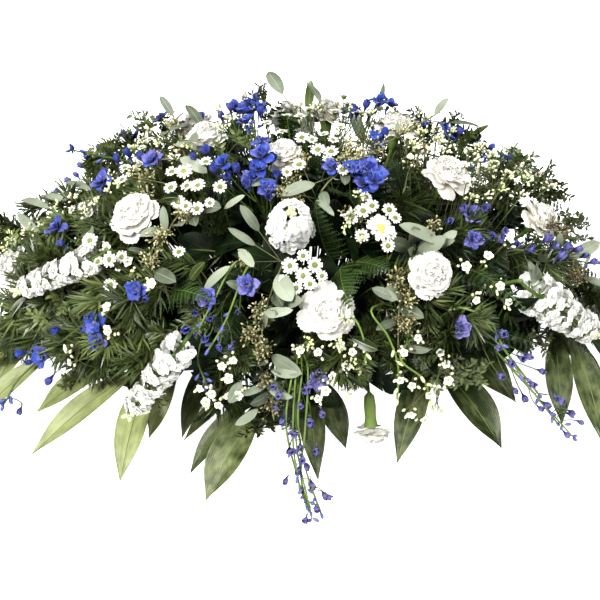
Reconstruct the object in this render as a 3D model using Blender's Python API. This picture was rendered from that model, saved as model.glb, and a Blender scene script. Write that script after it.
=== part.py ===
"""Oval funeral spray: flowers and foliage whose stems stand in a block of floral foam, in a plastic tray.

Metres, +Z up. The origin is the middle of the tray's underside. The long way runs along X and the front
faces -Y. Each stem, with all that grows from it, is one solid, kept clear of those made before it.
Plants are placed by the pixel where the photograph shows them, in its frame of 600 x 600. The far side
is seen the same way from behind, and its places are marked BEHIND.
"""

import collections
import itertools
import math
import random

import bpy
from mathutils import Matrix, Vector
from mathutils.bvhtree import BVHTree

# Tray and foam
FOAM_SIZE = Vector((0.460, 0.110, 0.085))
FOAM_CORNER = 0.008
TRAY_WALL = 0.0025
TRAY_FLOOR = 0.004
TRAY_HEIGHT = 0.036
TRAY_FOOT_INSET = 0.006
CORNER_STEPS = 2
GAP = 0.0003

# The mound of flowers is the upper half of an ellipsoid
MOUND_MIDDLE = Vector((0, 0, 0.04))
MOUND_HALF = Vector((0.49, 0.31, 0.335))

# Where the photograph was taken from, and its scale: a carnation 70 mm wide spans 46 pixels
PHOTO_PIXELS = 600
PHOTO_SPAN = 0.92
PHOTO_DISTANCE = 1.92
PHOTO_ELEVATION = math.radians(40)
PHOTO_AIM = Vector((0, 0, 0.08))
METRES_PER_PIXEL = PHOTO_SPAN / PHOTO_PIXELS
FRONT = "front"
BEHIND = "behind"

# Stems set out from a line inside the foam, and try a few ways until one is clear
SPINE_HEIGHT = 0.045
SPINE_REACH = 0.183
SPINE_SHARE = 0.42
ROOT_START = 0.022
FREE_MARGIN = 0.008
LOWEST_RISE = math.radians(17)
SHIFTS = [0.0] + [side * step * 0.006 for step in range(1, 9) for side in (1, -1)]
BEND_WAYS = ((1, 0, 0), (-1, 0, 0), (0, 0, 1), (0, 1, 0), (0, -1, 0))
BENDS = [Vector()] + [Vector(way) * size for size in (0.012, 0.025) for way in BEND_WAYS]
STEM_SPACING = 0.0012
TOUCH = 0.0005
TABLE_CLEARANCE = 0.004
SKIRT_HEIGHT = 0.028
SKIRT_SLOPE = 0.3
LIFTS = [0, 0.04, -0.04, 0.08, 0.12]

# Branches leave a stem before its very end, and a branching stem starts this much below the mound
LAST_BRANCH = 0.97
START_DEPTH = 0.12

# Radius of each kind of stem where it stands in the foam and at its end
CARNATION_STEM = (0.0022, 0.0030)
STOCK_STEM = (0.0024, 0.0030)
DELPHINIUM_STEM = (0.0018, 0.0012)
DAISY_STEM = (0.0016, 0.0012)
EUCALYPTUS_STEM = (0.0016, 0.0012)
PALM_STEM = (0.0026, 0.0018)
FERN_STEM = (0.0020, 0.0016)
STALK = 0.0006

# Small parts of the plants
SMALL_FLORET = 19
STOCK_FLORET = 0.0135
GOLDEN_ANGLE = math.radians(137.5)
DAISY_RAYS = 6
LEAF_LENGTH = 0.056
SEEDS_TOGETHER = 2
SEED_RADIUS = 0.0026
FROND_PAIRS = 5
COVER_DEPTH = 0.28
COVER_HALF_WIDTH = 0.026

# Ways to place a head: where it is seen, then a little further in or out or aside, in pixels
NUDGES = [(1.0, 0, 0), (1.05, 0, 0), (0.95, 0, 0), (1.0, 7, 0), (1.0, -7, 0), (1.0, 0, 7), (1.0, 0, -7)]
NUDGES += [(rise, dx, dy) for rise in (1.06, 0.94, 1.12) for dx, dy in ((9, 5), (-9, 5), (6, -8), (-6, -8))]

# Carnations: the pixel of the middle and the width in pixels
CARNATION_WIDTH = 46
CARNATION_RADIUS = 0.035
CARNATION_FRILLS = 10
CARNATION_TOP = 0.34
# Each tier's radius and height in carnation radii, and how far every other point stands out and up
CARNATION_TIERS = [
    (0.22, -0.62, 0, 0),
    (0.93, 0.02, 0.09, 0.08),
    (0.50, -0.02, 0.03, 0),
    (0.74, 0.34, -0.08, 0.07),
    (0.30, 0.22, 0.02, 0),
    (0.42, 0.55, 0.07, 0.06),
]
CARNATIONS = {
    "carnation_left": ((132, 213), 44, FRONT),
    "carnation_top_left": ((205, 135), 40, FRONT),
    "carnation_crest": ((283, 152), 36, FRONT),
    "carnation_front": ((327, 312), 48, FRONT),
    "carnation_low_right": ((432, 273), 42, FRONT),
    "carnation_right": ((449, 172), 45, FRONT),
    "carnation_crown": ((327, 112), 44, FRONT),
    "carnation_top_right": ((396, 126), 40, FRONT),
    "carnation_far_right": ((543, 217), 40, FRONT),
    "carnation_far_left": ((10, 264), 40, FRONT),
    "carnation_back_right": ((188, 262), 46, BEHIND),
    "carnation_back_left": ((418, 248), 46, BEHIND),
}

# Stock: the pixels and rises of the spike's start and end, its width in pixels and its florets
STOCKS = {
    "stock_centre": ((290, 232), 0.84, (291, 216), 1.05, 50, 11, FRONT),
    "stock_right": ((527, 288), 1.0, (588, 330), 1.02, 48, 12, FRONT),
    "stock_front_left": ((186, 340), 1.0, (134, 408), 1.02, 36, 11, FRONT),
    "stock_left": ((98, 256), 0.98, (24, 288), 1.02, 34, 11, FRONT),
    "stock_back": ((318, 268), 0.95, (296, 338), 1.02, 42, 11, BEHIND),
}

# Delphiniums: the stem's pixels, then each floret's pixel and width in pixels
DELPHINIUMS = {
    "delphinium_top": (
        [(262, 195), (252, 100)],
        [
            ((262, 155), 24),
            ((252, 178), 22),
            ((237, 170), 18),
            ((222, 163), 22),
            ((268, 188), 20),
            ((244, 112), 20),
            ((256, 100), 18),
        ],
        FRONT,
    ),
    "delphinium_left": (
        [(176, 176), (72, 150)],
        [
            ((207, 152), 16),
            ((152, 160), 20),
            ((128, 154), 16),
            ((101, 182), 22),
            ((87, 156), 14),
            ((72, 149), 12),
        ],
        FRONT,
    ),
    "delphinium_left_low": (
        [(140, 285), (30, 368), (4, 404)],
        [
            ((136, 290), 22),
            ((95, 322), 24),
            ((98, 342), 20),
            ((56, 228), 24),
            ((57, 330), 16),
            ((42, 355), 24),
            ((22, 353), 16),
            ((50, 379), 16),
            ((4, 401), 14),
            ((20, 410), 12),
        ],
        FRONT,
    ),
    "delphinium_centre_low": (
        [(250, 265), (200, 345), (206, 385)],
        [((247, 285), 20), ((205, 297), 20), ((188, 329), 16), ((206, 338), 14), ((231, 346), 14)],
        FRONT,
    ),
    "delphinium_trail": (
        [(300, 360), (296, 440), (312, 518)],
        [
            ((274, 385), 14),
            ((318, 382), 20),
            ((283, 420), 14),
            ((311, 424), 12),
            ((290, 450), 14),
            ((286, 480), 13),
            ((306, 466), 13),
            ((324, 495), 13),
            ((306, 519), 12),
        ],
        FRONT,
    ),
    "delphinium_right_trail": (
        [(455, 310), (520, 378), (572, 436)],
        [
            ((461, 328), 22),
            ((497, 347), 14),
            ((500, 375), 14),
            ((521, 358), 15),
            ((541, 371), 13),
            ((515, 390), 12),
            ((546, 404), 13),
            ((571, 412), 12),
            ((566, 434), 13),
        ],
        FRONT,
    ),
    "delphinium_right": (
        [(508, 254), (600, 264)],
        [
            ((471, 215), 22),
            ((474, 240), 20),
            ((500, 240), 16),
            ((546, 240), 18),
            ((560, 257), 16),
            ((592, 262), 14),
        ],
        FRONT,
    ),
    "delphinium_top_right": (
        [(362, 195), (364, 135), (380, 98)],
        [((370, 170), 30), ((376, 140), 22), ((390, 104), 22), ((480, 162), 18), ((509, 157), 14)],
        FRONT,
    ),
    "delphinium_back_right": (
        [(262, 225), (150, 240), (62, 285)],
        [
            ((240, 228), 22),
            ((205, 205), 20),
            ((140, 215), 22),
            ((110, 245), 20),
            ((86, 262), 16),
            ((62, 288), 14),
        ],
        BEHIND,
    ),
    "delphinium_back_left": (
        [(362, 245), (470, 262), (560, 302)],
        [
            ((372, 232), 24),
            ((440, 215), 20),
            ((486, 250), 20),
            ((512, 282), 18),
            ((545, 280), 14),
            ((562, 306), 14),
        ],
        BEHIND,
    ),
}

# Daisies: the pixels of the stem's upper end, then each flower's pixel and width in pixels
DAISIES = {
    "daisies_upper_left": (
        [(193, 196)],
        [
            ((184, 172), 20),
            ((198, 186), 18),
            ((220, 187), 16),
            ((178, 202), 16),
            ((197, 209), 16),
            ((206, 162), 15),
        ],
        FRONT,
    ),
    "daisies_top": (
        [(312, 160)],
        [((302, 138), 17), ((318, 150), 17), ((299, 165), 16), ((331, 152), 17)],
        FRONT,
    ),
    "daisies_right": (
        [(370, 226)],
        [((351, 218), 16), ((363, 211), 17), ((380, 229), 32), ((388, 246), 15), ((362, 236), 16)],
        FRONT,
    ),
    "daisies_centre": (
        [(303, 272)],
        [((290, 266), 18), ((303, 276), 18), ((315, 265), 17), ((296, 288), 14)],
        FRONT,
    ),
    "daisies_left": (
        [(108, 262)],
        [((110, 260), 18), ((90, 241), 18), ((111, 285), 16), ((122, 250), 15)],
        FRONT,
    ),
    "daisies_back": (
        [(250, 200)],
        [((232, 190), 20), ((262, 184), 18), ((250, 212), 17), ((276, 205), 17), ((220, 215), 16)],
        BEHIND,
    ),
}

# Wax flowers: small five-petalled heads in loose clusters, placed as the daisies are
WAX_FLOWERS = {
    "wax_low_left": (
        [(222, 392)],
        [((229, 378), 13), ((206, 402), 13), ((219, 405), 12), ((239, 395), 12), ((222, 366), 11)],
        FRONT,
    ),
    "wax_low_centre": (
        [(340, 368)],
        [((340, 345), 12), ((346, 366), 13), ((326, 390), 13), ((350, 394), 12), ((318, 352), 11)],
        FRONT,
    ),
    "wax_low_right": (
        [(484, 276), (452, 330), (432, 398)],
        [
            ((466, 266), 13),
            ((488, 256), 13),
            ((500, 286), 12),
            ((446, 364), 11),
            ((448, 380), 13),
            ((430, 394), 13),
            ((411, 414), 12),
            ((425, 420), 13),
            ((441, 411), 14),
        ],
        FRONT,
    ),
    "wax_back": (
        [(400, 320)],
        [((382, 310), 13), ((404, 328), 13), ((422, 312), 12), ((394, 345), 12), ((418, 345), 12)],
        BEHIND,
    ),
}

# Seeded eucalyptus: the stem's pixels, each leaf's tip pixel and share of the stem, the seeds' shares
EUCALYPTUS = {
    "eucalyptus_trail": (
        [(284, 262), (262, 332), (274, 420)],
        [
            ((283, 306), 0.62),
            ((303, 300), 0.66),
            ((268, 318), 0.72),
            ((302, 374), 0.80),
            ((258, 366), 0.82),
            ((290, 398), 0.88),
            ((250, 404), 0.92),
        ],
        [0.72, 0.80, 0.88, 0.96],
        FRONT,
    ),
    "eucalyptus_left": (
        [(190, 205), (150, 262), (128, 300)],
        [((214, 208), 0.60), ((182, 226), 0.70), ((128, 250), 0.84), ((176, 282), 0.88)],
        [0.66, 0.76, 0.86, 0.96],
        FRONT,
    ),
    "eucalyptus_upper_left": (
        [(190, 170), (172, 112)],
        [((160, 96), 0.98), ((194, 108), 0.93), ((160, 134), 0.84), ((198, 140), 0.80), ((160, 160), 0.66)],
        [0.72, 0.88],
        FRONT,
    ),
    "eucalyptus_far_left": (
        [(98, 232), (40, 206)],
        [((22, 200), 0.96), ((36, 222), 0.90), ((76, 182), 0.78), ((62, 200), 0.84), ((92, 236), 0.70)],
        [0.70],
        FRONT,
    ),
    "eucalyptus_top": (
        [(322, 190), (372, 152), (440, 112)],
        [
            ((313, 82), 0.62),
            ((268, 72), 0.55),
            ((282, 196), 0.58),
            ((398, 122), 0.78),
            ((448, 98), 1.0),
            ((482, 128), 0.93),
        ],
        [0.62, 0.70, 0.80],
        FRONT,
    ),
    "eucalyptus_right": (
        [(415, 245), (400, 300), (398, 372)],
        [((386, 238), 0.60), ((446, 236), 0.64), ((414, 226), 0.58), ((384, 292), 0.76), ((424, 318), 0.80)],
        [0.76, 0.86, 0.96],
        FRONT,
    ),
    "eucalyptus_far_right": (
        [(520, 250), (588, 280)],
        [((534, 278), 0.76), ((600, 242), 0.84), ((560, 232), 0.80), ((612, 290), 1.0)],
        [0.80, 0.90],
        FRONT,
    ),
    "eucalyptus_back": (
        [(232, 272), (190, 360)],
        [((190, 250), 0.62), ((238, 290), 0.70), ((160, 310), 0.80), ((214, 350), 0.86), ((170, 392), 1.0)],
        [0.70, 0.82, 0.94],
        BEHIND,
    ),
}

# Palm: the rib's pixels at its height, then each leaflet's tip pixel, share of the rib and width in pixels
PALM_RIB_HEIGHT = 0.075
PALM_TIP_HEIGHT = 0.014
PALMS = {
    "palm_left": (
        [(150, 370), (60, 356), (14, 352)],
        [
            ((120, 482), 0.45, 30),
            ((32, 455), 0.50, 26),
            ((38, 412), 0.60, 22),
            ((150, 436), 0.38, 16),
            ((-24, 420), 0.86, 24),
            ((-42, 376), 1.0, 24),
            ((-30, 332), 0.88, 22),
            ((-4, 306), 0.70, 20),
        ],
        FRONT,
    ),
    "palm_left_centre": (
        [(236, 386), (262, 410)],
        [
            ((206, 500), 1.0, 36),
            ((190, 474), 0.88, 24),
            ((184, 440), 0.76, 18),
        ],
        FRONT,
    ),
    "palm_centre": (
        [(300, 362), (312, 374)],
        [
            ((318, 480), 0.9, 24),
            ((346, 448), 1.0, 28),
            ((296, 430), 0.8, 22),
        ],
        FRONT,
    ),
    "palm_right": (
        [(424, 352), (440, 366)],
        [((501, 448), 1.0, 38), ((516, 402), 0.9, 30), ((397, 463), 0.84, 28)],
        FRONT,
    ),
    "palm_far_right": (
        [(520, 330), (600, 336)],
        [
            ((562, 424), 0.78, 26),
            ((604, 446), 0.86, 28),
            ((640, 402), 0.94, 26),
            ((650, 352), 1.0, 26),
            ((652, 300), 0.92, 24),
            ((640, 264), 0.80, 22),
        ],
        FRONT,
    ),
    "palm_back_right": (
        [(200, 385), (120, 388)],
        [
            ((240, 496), 0.62, 28),
            ((170, 478), 0.74, 26),
            ((92, 474), 0.86, 28),
            ((50, 436), 1.0, 26),
            ((36, 392), 0.92, 24),
        ],
        BEHIND,
    ),
    "palm_back_left": (
        [(400, 385), (480, 388)],
        [
            ((330, 500), 0.60, 28),
            ((400, 490), 0.70, 28),
            ((470, 474), 0.82, 26),
            ((548, 436), 1.0, 26),
            ((566, 392), 0.92, 24),
        ],
        BEHIND,
    ),
}

# Leatherleaf fern: the fork's pixel and rise, each frond's tip pixel, and the tip pixels of the broad
# leaves that hang over the foam below them
FERNS = {
    "fern_centre": (
        (345, 262),
        0.66,
        [(356, 316), (400, 266), (316, 200), (250, 330)],
        [(322, 350), (372, 345)],
        FRONT,
    ),
    "fern_left": (
        (150, 300),
        0.66,
        [(108, 372), (190, 350), (60, 310), (230, 290)],
        [(150, 350), (192, 356), (236, 346)],
        FRONT,
    ),
    "fern_right": (
        (450, 262),
        0.62,
        [(500, 348), (544, 300), (420, 346), (404, 152), (492, 196)],
        [(470, 325), (424, 340)],
        FRONT,
    ),
    "fern_back": (
        (300, 300),
        0.66,
        [(368, 380), (232, 372), (330, 230), (460, 322), (130, 340)],
        [(210, 350), (262, 356), (330, 352), (390, 350), (300, 292), (240, 304), (366, 300), (176, 326), (432, 330)],
        BEHIND,
    ),
}

# Small-leaved foliage, given as the ferns are
FOLIAGE = {
    "foliage_left": (
        (150, 220),
        0.66,
        [(14, 236), (40, 322), (152, 124), (240, 132), (112, 146)],
        [],
        FRONT,
    ),
    "foliage_right": ((480, 215), 0.68, [(550, 182), (512, 168), (566, 236)], [], FRONT),
}


def sight_line(pixel, side):
    """Start and direction of the line of sight through a pixel, seen from the front or from behind."""
    across = (pixel[0] / PHOTO_PIXELS - 0.5) * PHOTO_SPAN / PHOTO_DISTANCE
    upward = (0.5 - pixel[1] / PHOTO_PIXELS) * PHOTO_SPAN / PHOTO_DISTANCE
    cos, sin = math.cos(PHOTO_ELEVATION), math.sin(PHOTO_ELEVATION)
    start = PHOTO_AIM + Vector((0, -cos, sin)) * PHOTO_DISTANCE
    direction = Vector((across, cos + upward * sin, upward * cos - sin))
    if side == BEHIND:
        start = Vector((-start.x, -start.y, start.z))
        direction = Vector((-direction.x, -direction.y, direction.z))
    return start, direction.normalized()


def on_mound(pixel, side, rise=1.0):
    """The point that a pixel shows of the mound, made `rise` times as large, or of its skirt."""
    start, direction = sight_line(pixel, side)
    s = Vector([(start - MOUND_MIDDLE)[i] / (MOUND_HALF[i] * rise) for i in range(3)])
    d = Vector([direction[i] / (MOUND_HALF[i] * rise) for i in range(3)])
    a, b, c = d.dot(d), s.dot(d), s.dot(s) - 1
    point = start + direction * ((-b - math.sqrt(max(b * b - a * c, 0))) / a)
    lowest = SKIRT_HEIGHT + SKIRT_SLOPE * max(rise - 1, -0.05)
    return point if point.z > lowest else on_level(pixel, side, lowest)


def on_level(pixel, side, height):
    """The point at a height above the table that a pixel shows."""
    start, direction = sight_line(pixel, side)
    return start + direction * ((height - start.z) / direction.z)


def outward(point):
    """The mound's outward direction at a point."""
    p = point - MOUND_MIDDLE
    return Vector([p[i] / MOUND_HALF[i] ** 2 for i in range(3)]).normalized()


def smooth(points, count):
    """Points evenly spread on a Catmull-Rom curve through the given ones."""
    ends = [points[0] * 2 - points[1], *points, points[-1] * 2 - points[-2]]
    curve = []
    for k in range(count):
        place = k * (len(points) - 1) / (count - 1)
        i = min(int(place), len(points) - 2)
        t = place - i
        a, b, c, d = ends[i : i + 4]
        cubic = b * 3 - a - c * 3 + d
        curve.append((b * 2 + (c - a) * t + (a * 2 - b * 5 + c * 4 - d) * t**2 + cubic * t**3) / 2)
    return curve


def along_line(line, share):
    """The point at a share of a line's length."""
    lengths = [(b - a).length for a, b in zip(line, line[1:])]
    left = share * sum(lengths)
    for i, length in enumerate(lengths):
        if left <= length or i == len(lengths) - 1:
            return line[i].lerp(line[i + 1], min(left / length, 1))
        left -= length


def stem_line(places, shift, bend, count):
    """A stem's curve from inside the foam through its places. Its first stretch leaves the foam."""
    first = places[0]
    spine = Vector((max(-SPINE_REACH, min(SPINE_REACH, SPINE_SHARE * first.x)) + shift, 0, SPINE_HEIGHT))
    out = (first - spine).normalized()
    flat = math.hypot(out.x, out.y)
    if math.atan2(out.z, flat) < LOWEST_RISE:
        out = Vector((out.x, out.y, flat * math.tan(LOWEST_RISE))).normalized()
    walls = (FOAM_SIZE.x / 2, FOAM_SIZE.y / 2, TRAY_FLOOR + FOAM_SIZE.z)
    reaches = [(math.copysign(wall, o) - s) / o for wall, s, o in zip(walls, spine, out) if o]
    leave = spine + out * (min(reaches) + FREE_MARGIN)
    middle = leave.lerp(first, 0.5) + out * (first - leave).length * 0.06 + bend
    return [spine + out * ROOT_START, leave, *smooth([leave, middle, *places], count)[1:]]


def turned_to(axis, turn):
    """Rotation that takes +Z to an axis, after a turn about it."""
    return axis.to_track_quat("Z", "Y").to_matrix() @ Matrix.Rotation(turn, 3, "Z")


def tube(line, radii, sides, open_end=False):
    """A tube of few sides along a line, as points and triangles."""
    points, faces = [], []
    across = None
    for i, p in enumerate(line):
        along = (line[min(i + 1, len(line) - 1)] - line[max(i - 1, 0)]).normalized()
        across = (along.orthogonal() if across is None else across - along * across.dot(along)).normalized()
        other = along.cross(across)
        for k in range(sides):
            a = math.tau * k / sides
            points.append(p + (across * math.cos(a) + other * math.sin(a)) * radii[i])
    for i in range(len(line) - 1):
        for k in range(sides):
            a, b = i * sides + k, i * sides + (k + 1) % sides
            faces += [(a, b, b + sides), (a, b + sides, a + sides)]
    last = (len(line) - 1) * sides
    for k in range(1, sides - 1):
        faces.append((0, k + 1, k))
        if not open_end:
            faces.append((last, last + k, last + k + 1))
    return points, faces


def spindle(start, end, radius):
    """A three-sided seed or bud, pointed at both ends."""
    along = (end - start).normalized()
    across = along.orthogonal() * radius
    other = along.cross(across)
    middle = start.lerp(end, 0.55)
    waist = [middle + across * math.cos(a) + other * math.sin(a) for a in (0, math.tau / 3, -math.tau / 3)]
    faces = [(0, 2, 1), (0, 3, 2), (0, 1, 3), (4, 1, 2), (4, 2, 3), (4, 3, 1)]
    return [start, *waist, end], faces


def leaf(base, tip, face, half_width, arch=0.0, fold=0.0, thickness=0.0014, stations=2):
    """A thin leaf from base to tip: a ridge down its middle, edges drawn to a line, both ends pointed."""
    along = tip - base
    side = along.cross(face).normalized()
    up = side.cross(along).normalized()
    points, faces = [base.copy()], []
    for i in range(1, stations + 1):
        t = i / (stations + 1)
        width = half_width * math.sin(math.pi * t**0.8) ** 0.8
        middle = base + along * t + up * arch * along.length * 4 * t * (1 - t)
        edge = up * fold * width
        points += [
            middle - side * width + edge,
            middle + up * thickness / 2,
            middle + side * width + edge,
            middle - up * thickness / 2,
        ]
    points.append(tip.copy())
    end = len(points) - 1
    for k in range(4):
        n = (k + 1) % 4
        faces += [(0, 1 + n, 1 + k), (end, end - 4 + k, end - 4 + n)]
        for i in range(stations - 1):
            a, b = 1 + i * 4 + k, 1 + i * 4 + n
            faces += [(a, b, b + 4), (a, b + 4, a + 4)]
    return points, faces


def frame_at(middle, axis, turn):
    """Places a point given by its radius, angle and height about an axis through middle."""
    turning = turned_to(axis, turn)
    return lambda radius, angle, height: middle + turning @ Vector(
        (radius * math.cos(angle), radius * math.sin(angle), height)
    )


def frond(line, face, longest, droop, slant, bare=0.3, notch=0.0016, thickness=0.0011):
    """A frond as one thin blade: a bare stalk, then an outline cut to the rib in pairs of leaflets."""
    steps = 40
    pairs = FROND_PAIRS
    rib = smooth(line, steps + 1)
    shares = [0] + [bare + (1 - bare) * i / pairs for i in range(pairs + 1)]
    points, top = [], []
    for i, share in enumerate(shares):
        k = min(round(share * steps), steps - 1)
        along = (rib[k + 1] - rib[k]).normalized()
        side = along.cross(face).normalized()
        up = side.cross(along).normalized()
        grown = longest * math.sin(math.pi * (0.10 + 0.82 * (share - bare) / (1 - bare))) ** 0.7 if i else 0
        middle = rib[round(share * steps)]
        half = notch if i else thickness / 2
        points += [(middle - side * half, up), (middle + side * half, up)]
        points += [(middle + (side * sign + along * slant - up * droop) * grown, up) for sign in (-1, 1)]
    for i in range(len(shares) - 1):
        left, right, left_tip, right_tip, left_next, right_next = (4 * i + k for k in range(6))
        top += [(left, right, right_next), (left, right_next, left_next)]
        if i:
            top += [(left, left_next, left_tip), (right, right_tip, right_next)]
    used = sorted({k for f in top for k in f})
    place = {k: i for i, k in enumerate(used)}
    top = [tuple(place[k] for k in f) for f in top]
    upper = [points[k][0] + points[k][1] * thickness / 2 for k in used]
    lower = [points[k][0] - points[k][1] * thickness / 2 for k in used]
    n = len(used)
    faces = top + [(c + n, b + n, a + n) for a, b, c in top]
    edges = {(a, b) for f in top for a, b in zip(f, f[1:] + f[:1])}
    for a, b in sorted(edges):
        if (b, a) not in edges:
            faces += [(b, a, a + n), (b, a + n, b + n)]
    return upper + lower, faces


def box_of(points):
    """The lowest and highest corner of the box round some points."""
    low = Vector([min(p[i] for p in points) for i in range(3)])
    high = Vector([max(p[i] for p in points) for i in range(3)])
    return low, high


class Clearance:
    """What has been made so far, to keep new growth clear of it."""

    def __init__(self):
        self.solids = {}

    def add(self, obj):
        """Adds an object's solid."""
        mesh = obj.data
        mesh.calc_loop_triangles()
        points = [v.co.copy() for v in mesh.vertices]
        faces = [tuple(t.vertices) for t in mesh.loop_triangles]
        self.solids[obj.name] = (BVHTree.FromPolygons(points, faces, epsilon=TOUCH), *box_of(points))

    def meets(self, shape, passing=()):
        """The name of a solid that a shape touches, or "table" if it dips to the table."""
        points, faces = shape
        low, high = box_of(points)
        if low.z < TABLE_CLEARANCE:
            return "table"
        tree = None
        for name, (other, other_low, other_high) in self.solids.items():
            apart = any(low[i] > other_high[i] + TOUCH or high[i] < other_low[i] - TOUCH for i in range(3))
            if apart or name in passing:
                continue
            tree = tree or BVHTree.FromPolygons(points, faces, epsilon=TOUCH)
            if tree.overlap(other):
                return name
        return None


made = Clearance()
roots = []


def material(name, colour, roughness):
    """A plain finish in the part's own colour."""
    found = bpy.data.materials.new(name)
    found.use_nodes = True
    shader = found.node_tree.nodes["Principled BSDF"]
    shader.inputs["Base Color"].default_value = (*colour, 1)
    shader.inputs["Roughness"].default_value = roughness
    return found


def mesh_object(name, shape):
    """An object from points and triangles that face outward."""
    mesh = bpy.data.meshes.new(name)
    points, faces = shape
    mesh.from_pydata([tuple(p) for p in points], [], faces)
    return bpy.data.objects.new(name, mesh)


def is_closed(mesh):
    """Whether each edge of a mesh joins two faces."""
    joined = collections.Counter(edge for face in mesh.polygons for edge in face.edge_keys)
    return all(count == 2 for count in joined.values())


def combine(target, shapes, operation, solver="EXACT"):
    """Joins shapes to an object, or cuts them from it, in one Boolean that is then applied."""
    group = bpy.data.collections.new(target.name + "_pieces")
    bpy.context.scene.collection.children.link(group)
    pieces = [mesh_object(target.name + "_piece", shape) for shape in shapes]
    for piece in pieces:
        group.objects.link(piece)
    boolean = target.modifiers.new("combine", "BOOLEAN")
    boolean.operation = operation
    boolean.operand_type = "COLLECTION"
    boolean.collection = group
    boolean.solver = solver
    bpy.context.view_layer.update()
    graph = bpy.context.evaluated_depsgraph_get()
    mesh = bpy.data.meshes.new_from_object(target.evaluated_get(graph))
    target.modifiers.clear()
    for piece in pieces:
        bpy.data.objects.remove(piece)
    bpy.data.collections.remove(group)
    if solver == "EXACT" and not is_closed(mesh):
        combine(target, shapes, operation, solver="MANIFOLD")
    else:
        target.data = mesh


def finish_node(obj, finish):
    """Gives an object its material and flat faces."""
    obj.data.materials.clear()
    obj.data.materials.append(finish)
    obj.data.shade_flat()


def grow(name, finish, path, radii, sides, count, growth, body=tube):
    """One node: a stem along a path, and what grows from it.

    path(lift) gives the places that the stem goes through, and growth(line) gives for each piece the ways
    to place it, each a list of shapes. The first way clear of everything made before is used, and a
    piece with no clear way is left out. body makes the stem from its line, radii and sides."""
    root_radius, tip_radius = radii
    for lift, bend, shift in itertools.product(LIFTS, BENDS, SHIFTS):
        line = stem_line(path(lift), shift, bend, count)
        steps = len(line) - 1
        thickness = [root_radius + (tip_radius - root_radius) * i / steps for i in range(steps + 1)]
        stem = body(line, thickness, sides)
        sleeve = tube(line[:2], [t + STEM_SPACING for t in thickness[:2]], sides)
        blocker = made.meets(stem, passing=("foam",)) or made.meets(sleeve, passing=("foam", "tray"))
        if not blocker:
            break
    else:
        print(f"{name}: no clear way for the stem past {blocker}")
    kept = []
    for number, ways in enumerate(growth(line)):
        clear = next((way for way in ways if not any(made.meets(shape) for shape in way)), None)
        if clear is None:
            print(f"{name}: no clear way for piece {number}")
        kept += clear or []
    obj = mesh_object(name, stem)
    bpy.context.scene.collection.objects.link(obj)
    if kept:
        combine(obj, kept, "UNION")
    finish_node(obj, finish)
    roots.append((line[:2], thickness[:2], sides))
    made.add(obj)


def oblong(half_x, half_y, corner):
    """An oblong outline with round corners, anticlockwise."""
    outline = []
    for quarter, (sx, sy) in enumerate(((1, 1), (-1, 1), (-1, -1), (1, -1))):
        centre = Vector((sx * (half_x - corner), sy * (half_y - corner)))
        for k in range(CORNER_STEPS + 1):
            a = math.pi / 2 * (quarter + k / CORNER_STEPS)
            outline.append(centre + Vector((math.cos(a), math.sin(a))) * corner)
    return outline


def stacked(outlines):
    """A closed body skinned over outlines of equal count, each with its height, capped at both ends."""
    count = len(outlines[0][0])
    points = [Vector((p.x, p.y, height)) for outline, height in outlines for p in outline]
    faces = []
    for i in range(len(outlines) - 1):
        for k in range(count):
            a, b = i * count + k, i * count + (k + 1) % count
            faces += [(a, b, b + count), (a, b + count, a + count)]
    last = (len(outlines) - 1) * count
    for k in range(1, count - 1):
        faces += [(0, k + 1, k), (last, last + k, last + k + 1)]
    return points, faces


def make_tray(finish):
    """The plastic tray: a flat foot, low walls and a lip, open at the top where the foam sits."""
    inner = Vector((FOAM_SIZE.x / 2 + GAP, FOAM_SIZE.y / 2 + GAP))

    def ring(grown, height):
        return oblong(inner.x + grown, inner.y + grown, FOAM_CORNER + grown), height

    lip = 2 * TRAY_WALL
    shape = stacked(
        [
            ring(TRAY_WALL - TRAY_FOOT_INSET / 2, 0),
            ring(TRAY_WALL, TRAY_FOOT_INSET),
            ring(TRAY_WALL, TRAY_HEIGHT - TRAY_WALL),
            ring(lip, TRAY_HEIGHT - TRAY_WALL),
            ring(lip, TRAY_HEIGHT),
            ring(0, TRAY_HEIGHT),
            ring(0, TRAY_FLOOR),
        ]
    )
    obj = mesh_object("tray", shape)
    bpy.context.scene.collection.objects.link(obj)
    finish_node(obj, finish)
    made.add(obj)


def make_foam(finish):
    """The foam block, its upper edges shaved, before the stems' holes are cut."""
    half = FOAM_SIZE / 2
    bottom = TRAY_FLOOR + GAP
    full = oblong(half.x, half.y, FOAM_CORNER)
    shaved = oblong(half.x - FOAM_CORNER, half.y - FOAM_CORNER, FOAM_CORNER / 2)
    top = bottom + FOAM_SIZE.z
    obj = mesh_object("foam", stacked([(full, bottom), (full, top - FOAM_CORNER), (shaved, top)]))
    bpy.context.scene.collection.objects.link(obj)
    finish_node(obj, finish)
    made.add(obj)
    return obj


def pierce_foam(foam):
    """Cuts the hole that each stem stands in, a hair wider than the stem."""
    holes = []
    for line, thickness, sides in roots:
        deeper = line[0] + (line[0] - line[1]).normalized() * GAP * 2
        # The flats of the hole clear the stem's corners by the gap's worth all round
        wider = GAP / math.cos(math.pi / sides)
        holes.append(tube([deeper, line[1]], [t + wider for t in thickness], sides))
    combine(foam, holes, "DIFFERENCE")


def branch_point(line, goal, back=0.6):
    """Where a stalk to a goal starts on a stem: below the nearest point, so that the stalk leans up."""
    free = line[1:]
    spots = [along_line(free, k / 30) for k in range(4, 31)]
    nearest = min(range(len(spots)), key=lambda i: (spots[i] - goal).length)
    reach = (spots[nearest] - goal).length
    i = nearest
    while i > 0 and (spots[nearest] - spots[i]).length < reach * back:
        i -= 1
    return spots[i]


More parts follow.
